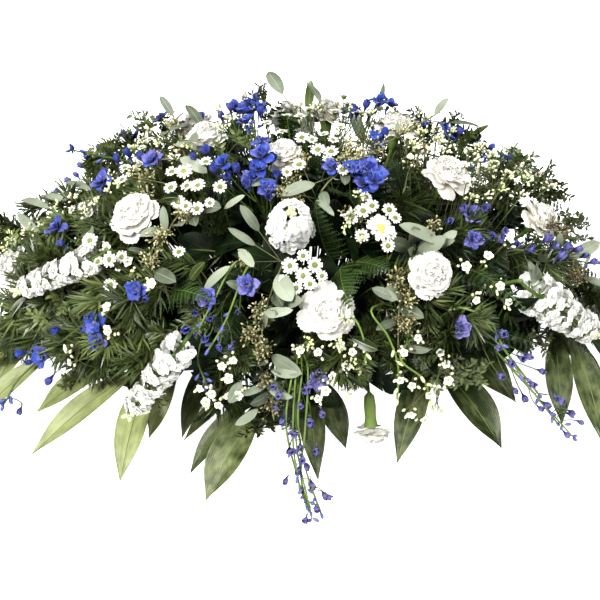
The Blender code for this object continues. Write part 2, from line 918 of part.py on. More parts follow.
def mixed(axis, away, draw, loose):
    """A direction between the mound's outward one and a head's own, with a little chance."""
    chance = Vector([draw.uniform(-1, 1) for _ in range(3)]) * loose
    return (axis + away.normalized() * 0.5 + chance).normalized()


def zipped(first, first_count, second, second_count):
    """Triangles between two rings of points of different counts, both starting at the same angle."""
    faces = []
    i = j = 0
    while i < first_count or j < second_count:
        here, there = first + i % first_count, second + j % second_count
        if j == second_count or (i < first_count and (i + 0.5) / first_count < (j + 0.5) / second_count):
            faces.append((here, first + (i + 1) % first_count, there))
            i += 1
        else:
            faces.append((here, second + (j + 1) % second_count, there))
            j += 1
    return faces


def flower(start, at, depth, rim, top):
    """A flower and its stalk in one body: a three-sided stalk, a flare, a rim and the flower's open face.

    rim is the places of its points as radius and height, evenly round the flower, and top is the height
    of its middle."""
    neck = at(0, 0, -depth)
    along = (neck - start).normalized()
    across = at(1, 0, 0) - at(0, 0, 0)
    across = (across - along * across.dot(along)).normalized()
    other = along.cross(across)
    points = []
    for middle, thickness in ((start, STALK), (neck, STALK * 1.3)):
        for k in range(3):
            a = math.tau * k / 3
            points.append(middle + (across * math.cos(a) + other * math.sin(a)) * thickness)
    count = len(rim)
    points += [at(radius, math.tau * k / count, height) for k, (radius, height) in enumerate(rim)]
    points.append(at(0, 0, top))
    faces = [(0, 2, 1)]
    for k in range(3):
        n = (k + 1) % 3
        faces += [(k, n, n + 3), (k, n + 3, k + 3)]
    faces += zipped(3, 3, 6, count)
    faces += [(6 + count, 6 + k, 6 + (k + 1) % count) for k in range(count)]
    return points, faces


def stalked(line, pixel, side, draw, bloom, loose=0.3):
    """Ways to place a head on its stalk. bloom(start, at) gives the shapes of both."""
    for rise, dx, dy in NUDGES:
        middle = on_mound((pixel[0] + dx, pixel[1] + dy), side, rise)
        start = branch_point(line, middle)
        axis = mixed(outward(middle), middle - start, draw, loose)
        yield bloom(start, frame_at(middle, axis, draw.uniform(0, math.tau)))


def carnation(finish, name, pixel, width, side):
    """A carnation: its stem widens into the calyx, and three frilled tiers of petals open above it."""
    centre = on_mound(pixel, side, 0.97)
    aim = outward(centre)
    size = CARNATION_RADIUS * width / CARNATION_WIDTH
    draw = random.Random(name)
    count = CARNATION_FRILLS

    def body(line, thickness, sides):
        points, faces = tube(line, thickness, sides, open_end=True)
        start = len(points) - sides
        across = points[start] - line[-1]
        across = (across - aim * across.dot(aim)).normalized()
        other = aim.cross(across)
        for radius, height, radius_wave, height_wave in CARNATION_TIERS:
            for k in range(count):
                wave = 1 if k % 2 == 0 else -1
                loose = size * (1 + draw.uniform(-0.09, 0.09))
                a = math.tau * k / count
                around = across * math.cos(a) + other * math.sin(a)
                lean = aim * (height + wave * height_wave)
                points.append(centre + (around * (radius + wave * radius_wave) + lean) * loose)
        points.append(centre + aim * size * CARNATION_TOP)
        first = start + sides
        faces += zipped(start, sides, first, count)
        for i in range(len(CARNATION_TIERS) - 1):
            for k in range(count):
                a, b = first + i * count + k, first + i * count + (k + 1) % count
                faces += [(a, b, b + count), (a, b + count, a + count)]
        top = len(points) - 1
        faces += [(top, top - count + k, top - count + (k + 1) % count) for k in range(count)]
        return points, faces

    def places(_):
        return [centre - aim * size * 1.6, centre - aim * size * 1.15]

    grow(name, finish, places, CARNATION_STEM, 4, 3, lambda line: [], body)


def stock(finish, name, start, start_rise, end, end_rise, width, florets, side):
    """Stock: a spike of four-lobed florets round a thick stem."""
    first = on_mound(start, side, start_rise)
    last = on_mound(end, side, end_rise)
    axis = (last - first).normalized()
    reach = width / 2 * METRES_PER_PIXEL
    draw = random.Random(name)
    size = STOCK_FLORET

    def floret(k, twist):
        t = (k + 0.5) / florets
        angle = GOLDEN_ANGLE * k + twist
        around = turned_to(axis, angle) @ Vector((1, 0, 0))
        root = first.lerp(last, t * 0.94)
        out = (around + axis * (0.25 + 0.6 * t)).normalized()
        away = (reach - size * 0.6) * (1 - 0.35 * t)
        at = frame_at(root + out * away, out, angle)
        loose = size * draw.uniform(0.94, 1.06)
        return [flower(root, at, 0.5 * size, [(loose, 0.25 * size), (0.66 * size, 0)] * 4, 0.1 * size)]

    def growth(line):
        for k in range(florets):
            yield [floret(k, twist) for twist in (0, 0.4, -0.4, 0.8, -0.8)]

    def places(_):
        return [first - axis * 0.02, first, last]

    grow(name, finish, places, STOCK_STEM, 4, 5, growth)


def heads_on_stem(finish, name, path, heads, side, rise, radii, shape):
    """A stem with a flower on a stalk for each head. shape(size, draw) gives its depth, rim and top."""
    draw = random.Random(name)

    def bloom_of(width):
        depth, rim, top = shape(width / 2 * METRES_PER_PIXEL, draw)
        return lambda start, at: [flower(start, at, depth, rim, top)]

    def growth(line):
        for pixel, width in heads:
            yield stalked(line, pixel, side, draw, bloom_of(width))

    def places(lift):
        depths = [START_DEPTH * (1 - k / len(path)) for k in range(len(path))]
        return [on_mound(p, side, rise + lift - depth) for p, depth in zip(path, depths)]

    grow(name, finish, places, radii, 3, 2 + len(path), growth)


def delphinium_shape(size, draw):
    """A cup of five petals, or a plain half-open cup on a small floret."""
    loose = draw.uniform(0.95, 1.05)
    petal, gap = (size * loose, size * 0.16), (size * 0.68, -size * 0.04)
    small = size < SMALL_FLORET / 2 * METRES_PER_PIXEL
    return 0.5 * size, [petal] * 5 if small else [petal, gap] * 5, -0.2 * size


def daisy_shape(size, draw):
    """A flat head of rays round a raised middle."""
    loose = draw.uniform(0.97, 1.03)
    return 0.32 * size, [(size * loose, 0.08 * size), (size * 0.74, 0)] * DAISY_RAYS, 0.16 * size


def wax_shape(size, draw):
    """A small five-sided cup."""
    loose = draw.uniform(0.95, 1.05)
    return 0.8 * size, [(size * loose, 0.1 * size)] * 5, -0.1 * size


def eucalyptus(finish, name, path, leaves, seeds, side):
    """Seeded eucalyptus: oval leaves and short clusters of seeds along a stem."""
    draw = random.Random(name)

    def places(lift):
        depths = [START_DEPTH * (1 - k / len(path)) for k in range(len(path))]
        return [on_mound(p, side, 0.98 + lift - depth) for p, depth in zip(path, depths)]

    def leaf_ways(line, tip_pixel, share):
        stem_end = along_line(line, min(share, LAST_BRANCH))
        for rise, dx, dy in NUDGES:
            tip = on_mound((tip_pixel[0] + dx, tip_pixel[1] + dy), side, rise + 0.03)
            reach = (tip - stem_end).length
            base = tip.lerp(stem_end, min(LEAF_LENGTH / reach, 1))
            face = mixed(outward(tip), tip - base, draw, 0.35)
            way = [leaf(base, tip, face, 0.24 * (tip - base).length, arch=0.06, thickness=0.0016)]
            if reach > LEAF_LENGTH:
                way.append(tube([stem_end, base.lerp(tip, 0.08)], [STALK, STALK * 0.8], 3))
            yield way

    def seed_ways(line, share, k):
        base = along_line(line, share)
        out = outward(base)
        for twist in range(8):
            way = turned_to(out, 2.4 * k + 0.8 * twist) @ Vector((0.9, 0, 0.55))
            yield [spindle(base, base + way.normalized() * draw.uniform(0.011, 0.017), SEED_RADIUS)]

    def growth(line):
        for tip_pixel, share in leaves:
            yield leaf_ways(line, tip_pixel, share)
        for share in seeds:
            for k in range(SEEDS_TOGETHER):
                yield seed_ways(line, share - 0.008 * k, k)

    grow(name, finish, places, EUCALYPTUS_STEM, 3, 2 + len(path), growth)


def palm(finish, name, path, leaflets, side):
    """A short palm frond: long pointed leaflets that fan out low from its rib."""
    draw = random.Random(name)

    def places(lift):
        return [on_level(p, side, PALM_RIB_HEIGHT + lift / 4) for p in path]

    def leaflet_ways(line, tip_pixel, share, width):
        base = along_line(line, min(share, LAST_BRANCH))
        for lift in range(9):
            tip = on_level(tip_pixel, side, PALM_TIP_HEIGHT + 0.008 * lift)
            face = Vector((draw.uniform(-0.2, 0.2), draw.uniform(-0.2, 0.2), 1))
            half_width = width / 2 * METRES_PER_PIXEL
            yield [leaf(base, tip, face, half_width, 0.07, 0.22, thickness=0.0018, stations=3)]

    def growth(line):
        for tip_pixel, share, width in leaflets:
            yield leaflet_ways(line, tip_pixel, share, width)

    grow(name, finish, places, PALM_STEM, 4, 3, growth)


def fronds(finish, name, fork, fork_rise, tips, covers, side, longest, droop, slant):
    """Fern fronds or leafy twigs that part from one stem below the surface of the mound."""
    draw = random.Random(name)

    def frond_ways(line, tip_pixel, k):
        base = along_line(line, LAST_BRANCH - 0.05 * k)
        for rise, dx, dy in NUDGES + [(r + 0.03, 2 * dx, 2 * dy) for r, dx, dy in NUDGES]:
            tip = on_mound((tip_pixel[0] + dx, tip_pixel[1] + dy), side, rise)
            bow = (base.lerp(tip, 0.5) - MOUND_MIDDLE) * 0.10
            face = mixed(outward(tip), tip - base, draw, 0.4)
            yield [frond([base, base.lerp(tip, 0.5) + bow, tip], face, longest, droop, slant)]

    def cover_ways(line, tip_pixel, k):
        wide = [(rise, 3 * dx, 2 * dy) for rise, dx, dy in NUDGES]
        for lower, (rise, dx, dy) in itertools.product((0.04, 0.14, 0.24), NUDGES + wide):
            base = along_line(line, LAST_BRANCH - lower - 0.03 * k)
            tip = on_mound((tip_pixel[0] + dx, tip_pixel[1] + dy), side, rise - COVER_DEPTH)
            face = outward(tip) + Vector((draw.uniform(-0.2, 0.2), 0, draw.uniform(-0.2, 0.2)))
            yield [leaf(base, tip, face, COVER_HALF_WIDTH, 0.12, 0.1, thickness=0.0018)]

    def growth(line):
        for k, tip_pixel in enumerate(tips):
            yield frond_ways(line, tip_pixel, k)
        for k, tip_pixel in enumerate(covers):
            yield cover_ways(line, tip_pixel, k)

    def places(lift):
        return [on_mound(fork, side, fork_rise + lift)]

    grow(name, finish, places, FERN_STEM, 3, 3, growth)


def main():
    for obj in list(bpy.data.objects):
        bpy.data.objects.remove(obj)
    white = material("white petals", (0.93, 0.92, 0.88), 0.6)
    blue = material("blue petals", (0.06, 0.07, 0.62), 0.55)
    daisy_white = material("daisy petals", (0.92, 0.92, 0.90), 0.6)
    dark_leaf = material("fern leaves", (0.020, 0.060, 0.016), 0.5)
    palm_leaf = material("palm leaves", (0.085, 0.130, 0.030), 0.45)
    grey_leaf = material("eucalyptus leaves", (0.20, 0.25, 0.20), 0.6)
    make_tray(material("tray plastic", (0.03, 0.10, 0.04), 0.4))
    foam = make_foam(material("wet foam", (0.03, 0.17, 0.07), 0.95))
    for name, places in PALMS.items():
        palm(palm_leaf, name, *places)
    for name, places in CARNATIONS.items():
        carnation(white, name, *places)
    for name, places in STOCKS.items():
        stock(white, name, *places)
    for name, places in DELPHINIUMS.items():
        heads_on_stem(blue, name, *places, 0.96, DELPHINIUM_STEM, delphinium_shape)
    for name, places in DAISIES.items():
        heads_on_stem(daisy_white, name, *places, 0.93, DAISY_STEM, daisy_shape)
    for name, places in WAX_FLOWERS.items():
        heads_on_stem(daisy_white, name, *places, 0.93, DAISY_STEM, wax_shape)
    for name, places in EUCALYPTUS.items():
        eucalyptus(grey_leaf, name, *places)
    for name, places in FERNS.items():
        fronds(dark_leaf, name, *places, longest=0.044, droop=0.2, slant=0.5)
    for name, places in FOLIAGE.items():
        fronds(dark_leaf, name, *places, longest=0.024, droop=0.1, slant=0.7)
    pierce_foam(foam)


main()
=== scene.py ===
"""Looks of an oval flower spray: petals, leaves, seeds, foam and tray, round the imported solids.

Metres, +Z up, in the frame of the solids. Each plant takes its place from its solid: the same pixels of
the photograph and the same rules are tried, and the ones that meet the solid's points are kept. The
foliage between the plants, the leaves that stand alone and the lowest carnation have no solid.
"""

import itertools
import math
import zlib

import bpy
import numpy as np
from mathutils import Matrix, Vector


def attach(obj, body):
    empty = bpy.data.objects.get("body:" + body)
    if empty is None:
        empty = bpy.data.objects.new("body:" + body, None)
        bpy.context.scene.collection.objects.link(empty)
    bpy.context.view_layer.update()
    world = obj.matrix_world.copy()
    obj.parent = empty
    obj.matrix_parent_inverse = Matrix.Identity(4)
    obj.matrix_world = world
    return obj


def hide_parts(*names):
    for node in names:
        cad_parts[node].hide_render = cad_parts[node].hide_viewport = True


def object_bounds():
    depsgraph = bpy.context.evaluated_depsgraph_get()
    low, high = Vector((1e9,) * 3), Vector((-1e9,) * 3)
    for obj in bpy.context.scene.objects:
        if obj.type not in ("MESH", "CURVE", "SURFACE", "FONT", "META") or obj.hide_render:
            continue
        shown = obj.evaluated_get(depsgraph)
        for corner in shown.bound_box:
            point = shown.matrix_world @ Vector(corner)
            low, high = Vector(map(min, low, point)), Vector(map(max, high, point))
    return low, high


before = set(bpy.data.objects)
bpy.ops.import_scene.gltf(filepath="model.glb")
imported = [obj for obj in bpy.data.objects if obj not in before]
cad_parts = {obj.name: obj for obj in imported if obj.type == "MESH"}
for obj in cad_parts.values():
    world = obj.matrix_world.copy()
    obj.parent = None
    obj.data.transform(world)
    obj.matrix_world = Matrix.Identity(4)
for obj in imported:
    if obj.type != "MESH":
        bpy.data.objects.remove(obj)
cad_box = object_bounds()

bl_info = {
    "name": "Oval flower spray",
    "version": (1, 0, 0),
    "blender": (4, 5, 0),
    "location": "3D View > Sidebar > Flower spray",
    "description": "Dresses the solids of a flower spray with petals, leaves, seeds and stems",
    "category": "Object",
}

# Tray and foam
FOAM_SIZE = Vector((0.460, 0.110, 0.085))
TRAY_FLOOR = 0.004

# The least height of leaves and petals over the floor
FLOOR_GAP = 0.001

# The mound of flowers is the upper half of an ellipsoid
MOUND_MIDDLE = Vector((0, 0, 0.04))
MOUND_HALF = Vector((0.49, 0.31, 0.335))

# Where the photograph was taken from, and its scale: a carnation 70 mm wide spans 46 pixels
PHOTO_PIXELS = 600
PHOTO_SPAN = 0.92
PHOTO_DISTANCE = 1.92
PHOTO_ELEVATION = math.radians(40)
PHOTO_AIM = Vector((0, 0, 0.08))
METRES_PER_PIXEL = PHOTO_SPAN / PHOTO_PIXELS
FRONT = "front"
BEHIND = "behind"

# Stems set out from a line inside the foam, and try a few ways until one meets its solid
SPINE_HEIGHT = 0.045
SPINE_REACH = 0.183
SPINE_SHARE = 0.42
ROOT_START = 0.022
FREE_MARGIN = 0.008
LOWEST_RISE = math.radians(17)
SHIFTS = [0.0] + [side * step * 0.006 for step in range(1, 9) for side in (1, -1)]
BEND_WAYS = ((1, 0, 0), (-1, 0, 0), (0, 0, 1), (0, 1, 0), (0, -1, 0))
BENDS = [Vector()] + [Vector(way) * size for size in (0.012, 0.025) for way in BEND_WAYS]
SKIRT_HEIGHT = 0.028
SKIRT_SLOPE = 0.3
LIFTS = [0, 0.04, -0.04, 0.08, 0.12]

# Branches leave a stem before its very end, and a branching stem starts this much below the mound
LAST_BRANCH = 0.97
START_DEPTH = 0.12

# How far out the carnations, the stems of each kind and the loose heads lie, as shares of the mound
CARNATION_RISE = 0.97
DELPHINIUM_RISE = 0.96
CLUSTER_RISE = 0.93
EUCALYPTUS_RISE = 0.98
LOOSE_RISES = (0.98, 1.03)

# The height of each kind of flower's middle over its solid's, in flower radii
DELPHINIUM_TOP = -0.2
DAISY_TOP = 0.16
WAX_TOP = -0.1

# Radius of each kind of stem where it stands in the foam and at its end
CARNATION_STEM = (0.0022, 0.0030)
STOCK_STEM = (0.0024, 0.0030)
DELPHINIUM_STEM = (0.0018, 0.0012)
DAISY_STEM = (0.0016, 0.0012)
EUCALYPTUS_STEM = (0.0016, 0.0012)
PALM_STEM = (0.0026, 0.0018)
FERN_STEM = (0.0020, 0.0016)

# Radii of the stalks of florets, leaves and buds
STOCK_STALK = 0.0009
FLORET_STALK = 0.0007
DAISY_STALK = 0.0006
WAX_STALK = 0.0005
BUD_STALK = 0.0004
LOW_CARNATION_STALK = 0.0016

# Radius and height of each kind of bud
STOCK_BUD = (0.0036, 0.0060)
DELPHINIUM_BUD = (0.0026, 0.0050)
WAX_BUD = (0.0022, 0.0036)
TRAIL_BUD = (0.0026, 0.0055)

# Small parts of the plants
SMALL_FLORET = 19
STOCK_FLORET = 0.0140
GOLDEN_ANGLE = math.radians(137.5)
LEAF_LENGTH = 0.056
COVER_DEPTH = 0.28
COVER_HALF_WIDTH = 0.026

# Ways to place a head: where it is seen, then a little further in or out or aside, in pixels
NUDGES = [(1.0, 0, 0), (1.05, 0, 0), (0.95, 0, 0), (1.0, 7, 0), (1.0, -7, 0), (1.0, 0, 7), (1.0, 0, -7)]
NUDGES += [(rise, dx, dy) for rise in (1.06, 0.94, 1.12) for dx, dy in ((9, 5), (-9, 5), (6, -8), (-6, -8))]

# Carnations: the pixel of the middle and the width in pixels
CARNATION_WIDTH = 46
CARNATION_RADIUS = 0.035
CARNATION_SPREAD = 0.86
CARNATIONS = {
    "carnation_left": ((132, 213), 44, FRONT),
    "carnation_top_left": ((205, 135), 40, FRONT),
    "carnation_crest": ((283, 152), 36, FRONT),
    "carnation_front": ((327, 312), 48, FRONT),
    "carnation_low_right": ((432, 273), 42, FRONT),
    "carnation_right": ((449, 172), 45, FRONT),
    "carnation_crown": ((327, 112), 44, FRONT),
    "carnation_top_right": ((396, 126), 40, FRONT),
    "carnation_far_right": ((543, 217), 40, FRONT),
    "carnation_far_left": ((10, 264), 40, FRONT),
    "carnation_back_right": ((188, 262), 46, BEHIND),
    "carnation_back_left": ((418, 248), 46, BEHIND),
}

# Stock: the pixels and rises of the spike's start and end, its width in pixels and its florets
STOCKS = {
    "stock_centre": ((290, 232), 0.84, (291, 216), 1.05, 50, 11, FRONT),
    "stock_right": ((527, 288), 1.0, (588, 330), 1.02, 48, 12, FRONT),
    "stock_front_left": ((186, 340), 1.0, (134, 408), 1.02, 36, 11, FRONT),
    "stock_left": ((98, 256), 0.98, (24, 288), 1.02, 34, 11, FRONT),
    "stock_back": ((318, 268), 0.95, (296, 338), 1.02, 42, 11, BEHIND),
}

# Delphiniums: the stem's pixels, then each floret's pixel and width in pixels
DELPHINIUMS = {
    "delphinium_top": (
        [(262, 195), (252, 100)],
        [
            ((262, 155), 24), ((252, 178), 22), ((237, 170), 18), ((222, 163), 22), ((268, 188), 20),
            ((244, 112), 20), ((256, 100), 18),
        ],
        FRONT,
    ),
    "delphinium_left": (
        [(176, 176), (72, 150)],
        [
            ((207, 152), 16), ((152, 160), 20), ((128, 154), 16), ((101, 182), 22), ((87, 156), 14),
            ((72, 149), 12),
        ],
        FRONT,
    ),
    "delphinium_left_low": (
        [(140, 285), (30, 368), (4, 404)],
        [
            ((136, 290), 22), ((95, 322), 24), ((98, 342), 20), ((56, 228), 24), ((57, 330), 16),
            ((42, 355), 24), ((22, 353), 16), ((50, 379), 16), ((4, 401), 14), ((20, 410), 12),
        ],
        FRONT,
    ),
    "delphinium_centre_low": (
        [(250, 265), (200, 345), (206, 385)],
        [((247, 285), 20), ((205, 297), 20), ((188, 329), 16), ((206, 338), 14), ((231, 346), 14)],
        FRONT,
    ),
    "delphinium_trail": (
        [(300, 360), (296, 440), (312, 518)],
        [
            ((274, 385), 14), ((318, 382), 20), ((283, 420), 14), ((311, 424), 12), ((290, 450), 14),
            ((286, 480), 13), ((306, 466), 13), ((324, 495), 13), ((306, 519), 12),
        ],
        FRONT,
    ),
    "delphinium_right_trail": (
        [(455, 310), (520, 378), (572, 436)],
        [
            ((461, 328), 22), ((497, 347), 14), ((500, 375), 14), ((521, 358), 15), ((541, 371), 13),
            ((515, 390), 12), ((546, 404), 13), ((571, 412), 12), ((566, 434), 13),
        ],
        FRONT,
    ),
    "delphinium_right": (
        [(508, 254), (600, 264)],
        [
            ((471, 215), 22), ((474, 240), 20), ((500, 240), 16), ((546, 240), 18), ((560, 257), 16),
            ((592, 262), 14),
        ],
        FRONT,
    ),
    "delphinium_top_right": (
        [(362, 195), (364, 135), (380, 98)],
        [((370, 170), 30), ((376, 140), 22), ((390, 104), 22), ((480, 162), 18), ((509, 157), 14)],
        FRONT,
    ),
    "delphinium_back_right": (
        [(262, 225), (150, 240), (62, 285)],
        [
            ((240, 228), 22), ((205, 205), 20), ((140, 215), 22), ((110, 245), 20), ((86, 262), 16),
            ((62, 288), 14),
        ],
        BEHIND,
    ),
    "delphinium_back_left": (
        [(362, 245), (470, 262), (560, 302)],
        [
            ((372, 232), 24), ((440, 215), 20), ((486, 250), 20), ((512, 282), 18), ((545, 280), 14),
            ((562, 306), 14),
        ],
        BEHIND,
    ),
}

# Daisies: the pixels of the stem's upper end, then each flower's pixel and width in pixels
DAISIES = {
    "daisies_upper_left": (
        [(193, 196)],
        [
            ((184, 172), 20), ((198, 186), 18), ((220, 187), 16), ((178, 202), 16), ((197, 209), 16),
            ((206, 162), 15),
        ],
        FRONT,
    ),
    "daisies_top": (
        [(312, 160)],
        [((302, 138), 17), ((318, 150), 17), ((299, 165), 16), ((331, 152), 17)],
        FRONT,
    ),
    "daisies_right": (
        [(370, 226)],
        [((351, 218), 16), ((363, 211), 17), ((380, 229), 32), ((388, 246), 15), ((362, 236), 16)],
        FRONT,
    ),
    "daisies_centre": (
        [(303, 272)],
        [((290, 266), 18), ((303, 276), 18), ((315, 265), 17), ((296, 288), 14)],
        FRONT,
    ),
    "daisies_left": (
        [(108, 262)],
        [((110, 260), 18), ((90, 241), 18), ((111, 285), 16), ((122, 250), 15)],
        FRONT,
    ),
    "daisies_back": (
        [(250, 200)],
        [((232, 190), 20), ((262, 184), 18), ((250, 212), 17), ((276, 205), 17), ((220, 215), 16)],
        BEHIND,
    ),
}

# Wax flowers: small five-petalled heads in loose clusters, placed as the daisies are
WAX_FLOWERS = {
    "wax_low_left": (
        [(222, 392)],
        [((229, 378), 13), ((206, 402), 13), ((219, 405), 12), ((239, 395), 12), ((222, 366), 11)],
        FRONT,
    ),
    "wax_low_centre": (
        [(340, 368)],
        [((340, 345), 12), ((346, 366), 13), ((326, 390), 13), ((350, 394), 12), ((318, 352), 11)],
        FRONT,
    ),
    "wax_low_right": (
        [(484, 276), (452, 330), (432, 398)],
        [
            ((466, 266), 13), ((488, 256), 13), ((500, 286), 12), ((446, 364), 11), ((448, 380), 13),
            ((430, 394), 13), ((411, 414), 12), ((425, 420), 13), ((441, 411), 14),
        ],
        FRONT,
    ),
    "wax_back": (
        [(400, 320)],
        [((382, 310), 13), ((404, 328), 13), ((422, 312), 12), ((394, 345), 12), ((418, 345), 12)],
        BEHIND,
    ),
}

# Seeded eucalyptus: the stem's pixels, each leaf's tip pixel and share of the stem, the seeds' shares
EUCALYPTUS = {
    "eucalyptus_trail": (
        [(284, 262), (262, 332), (274, 420)],
        [
            ((283, 306), 0.62), ((303, 300), 0.66), ((268, 318), 0.72), ((302, 374), 0.8),
            ((258, 366), 0.82), ((290, 398), 0.88), ((250, 404), 0.92),
        ],
        [0.72, 0.8, 0.88, 0.96],
        FRONT,
    ),
    "eucalyptus_left": (
        [(190, 205), (150, 262), (128, 300)],
        [((214, 208), 0.6), ((182, 226), 0.7), ((128, 250), 0.84), ((176, 282), 0.88)],
        [0.66, 0.76, 0.86, 0.96],
        FRONT,
    ),
    "eucalyptus_upper_left": (
        [(190, 170), (172, 112)],
        [((160, 96), 0.98), ((194, 108), 0.93), ((160, 134), 0.84), ((198, 140), 0.8), ((160, 160), 0.66)],
        [0.72, 0.88],
        FRONT,
    ),
    "eucalyptus_far_left": (
        [(98, 232), (40, 206)],
        [((22, 200), 0.96), ((36, 222), 0.9), ((76, 182), 0.78), ((62, 200), 0.84), ((92, 236), 0.7)],
        [0.7],
        FRONT,
    ),
    "eucalyptus_top": (
        [(322, 190), (372, 152), (440, 112)],
        [
            ((313, 82), 0.62), ((268, 72), 0.55), ((282, 196), 0.58), ((398, 122), 0.78), ((448, 98), 1.0),
            ((482, 128), 0.93),
        ],
        [0.62, 0.7, 0.8],
        FRONT,
    ),
    "eucalyptus_right": (
        [(415, 245), (400, 300), (398, 372)],
        [((386, 238), 0.6), ((446, 236), 0.64), ((414, 226), 0.58), ((384, 292), 0.76), ((424, 318), 0.8)],
        [0.76, 0.86, 0.96],
        FRONT,
    ),
    "eucalyptus_far_right": (
        [(520, 250), (588, 280)],
        [((534, 278), 0.76), ((600, 242), 0.84), ((560, 232), 0.8), ((612, 290), 1.0)],
        [0.8, 0.9],
        FRONT,
    ),
    "eucalyptus_back": (
        [(232, 272), (190, 360)],
        [((190, 250), 0.62), ((238, 290), 0.7), ((160, 310), 0.8), ((214, 350), 0.86), ((170, 392), 1.0)],
        [0.7, 0.82, 0.94],
        BEHIND,
    ),
}

# Palm: the rib's pixels at its height, then each leaflet's tip pixel, share of the rib and width in pixels
PALM_RIB_HEIGHT = 0.075
PALM_TIP_HEIGHT = 0.014
PALMS = {
    "palm_left": (
        [(150, 370), (60, 356), (14, 352)],
        [
            ((120, 482), 0.45, 30), ((32, 455), 0.5, 26), ((38, 412), 0.6, 22), ((150, 436), 0.38, 16),
            ((-24, 420), 0.86, 24), ((-42, 376), 1.0, 24), ((-30, 332), 0.88, 22), ((-4, 306), 0.7, 20),
        ],
        FRONT,
    ),
    "palm_left_centre": (
        [(236, 386), (262, 410)],
        [((206, 500), 1.0, 36), ((190, 474), 0.88, 24), ((184, 440), 0.76, 18)],
        FRONT,
    ),
    "palm_centre": (
        [(300, 362), (312, 374)],
        [((318, 480), 0.9, 24), ((346, 448), 1.0, 28), ((296, 430), 0.8, 22)],
        FRONT,
    ),
    "palm_right": (
        [(424, 352), (440, 366)],
        [((501, 448), 1.0, 38), ((516, 402), 0.9, 30), ((397, 463), 0.84, 28)],
        FRONT,
    ),
    "palm_far_right": (
        [(520, 330), (600, 336)],
        [
            ((562, 424), 0.78, 26), ((604, 446), 0.86, 28), ((640, 402), 0.94, 26), ((650, 352), 1.0, 26),
            ((652, 300), 0.92, 24), ((640, 264), 0.8, 22),
        ],
        FRONT,
    ),
    "palm_back_right": (
        [(200, 385), (120, 388)],
        [
            ((240, 496), 0.62, 28), ((170, 478), 0.74, 26), ((92, 474), 0.86, 28), ((50, 436), 1.0, 26),
            ((36, 392), 0.92, 24),
        ],
        BEHIND,
    ),
    "palm_back_left": (
        [(400, 385), (480, 388)],
        [
            ((330, 500), 0.6, 28), ((400, 490), 0.7, 28), ((470, 474), 0.82, 26), ((548, 436), 1.0, 26),
            ((566, 392), 0.92, 24),
        ],
        BEHIND,
    ),
}

# Leatherleaf fern: the fork's pixel and rise, each frond's tip pixel, and the tip pixels of the broad
# leaves that hang over the foam below them
FERNS = {
    "fern_centre": (
        (345, 262),
        0.66,
        [(356, 316), (400, 266), (316, 200), (250, 330)],
        [(322, 350), (372, 345)],
        FRONT,
    ),
    "fern_left": (
        (150, 300),
        0.66,
        [(108, 372), (190, 350), (60, 310), (230, 290)],
        [(150, 350), (192, 356), (236, 346)],
        FRONT,
    ),
    "fern_right": (
        (450, 262),
        0.62,
        [(500, 348), (544, 300), (420, 346), (404, 152), (492, 196)],
        [(470, 325), (424, 340)],
        FRONT,
    ),
    "fern_back": (
        (300, 300),
        0.66,
        [(368, 380), (232, 372), (330, 230), (460, 322), (130, 340)],
        [
            (210, 350), (262, 356), (330, 352), (390, 350), (300, 292), (240, 304), (366, 300), (176, 326),
            (432, 330),
        ],
        BEHIND,
    ),
}

# Small-leaved foliage, given as the ferns are
FOLIAGE = {
    "foliage_left": ((150, 220), 0.66, [(14, 236), (40, 322), (152, 124), (240, 132), (112, 146)], [], FRONT),
    "foliage_right": ((480, 215), 0.68, [(550, 182), (512, 168), (566, 236)], [], FRONT),
}

# The carnation that hangs low in front: the pixels of its stem's start, its neck and its petals
LOW_CARNATION = [(352, 345), ((369, 392), 0.104), ((371, 426), 0.062)]
LOW_CARNATION_SIZE = 0.024

# How closely a line or a head has to meet a solid's points, and the rows of a drawn stem
STEM_MATCH = 0.0003
HEAD_MATCH = 0.00005
STEM_ROWS = 22

# More stems beside a trail, with small buds at their ends, by the pixels that they pass
EXTRA_STEM_RADIUS = 0.0015
EXTRA_STEM_BUDS = 5
EXTRA_STEMS = {
    "delphinium_trail": [
        [(302, 372), (298, 420), (306, 470), (322, 516)],
        [(308, 370), (305, 430), (301, 478), (311, 514)],
        [(292, 376), (286, 425), (297, 476), (307, 508)],
        [(296, 372), (293, 440), (300, 490)],
    ],
    "delphinium_right_trail": [
        [(462, 308), (490, 322), (505, 350), (540, 396)],
        [(500, 345), (524, 380), (558, 424)],
    ],
    "delphinium_centre_low": [[(247, 268), (226, 320), (207, 352)], [(236, 262), (214, 300), (196, 334)]],
    "wax_low_centre": [[(352, 318), (366, 350), (360, 372)]],
    "wax_low_right": [[(372, 308), (388, 336), (398, 366), (397, 402)], [(402, 350), (424, 380), (432, 408)]],
}

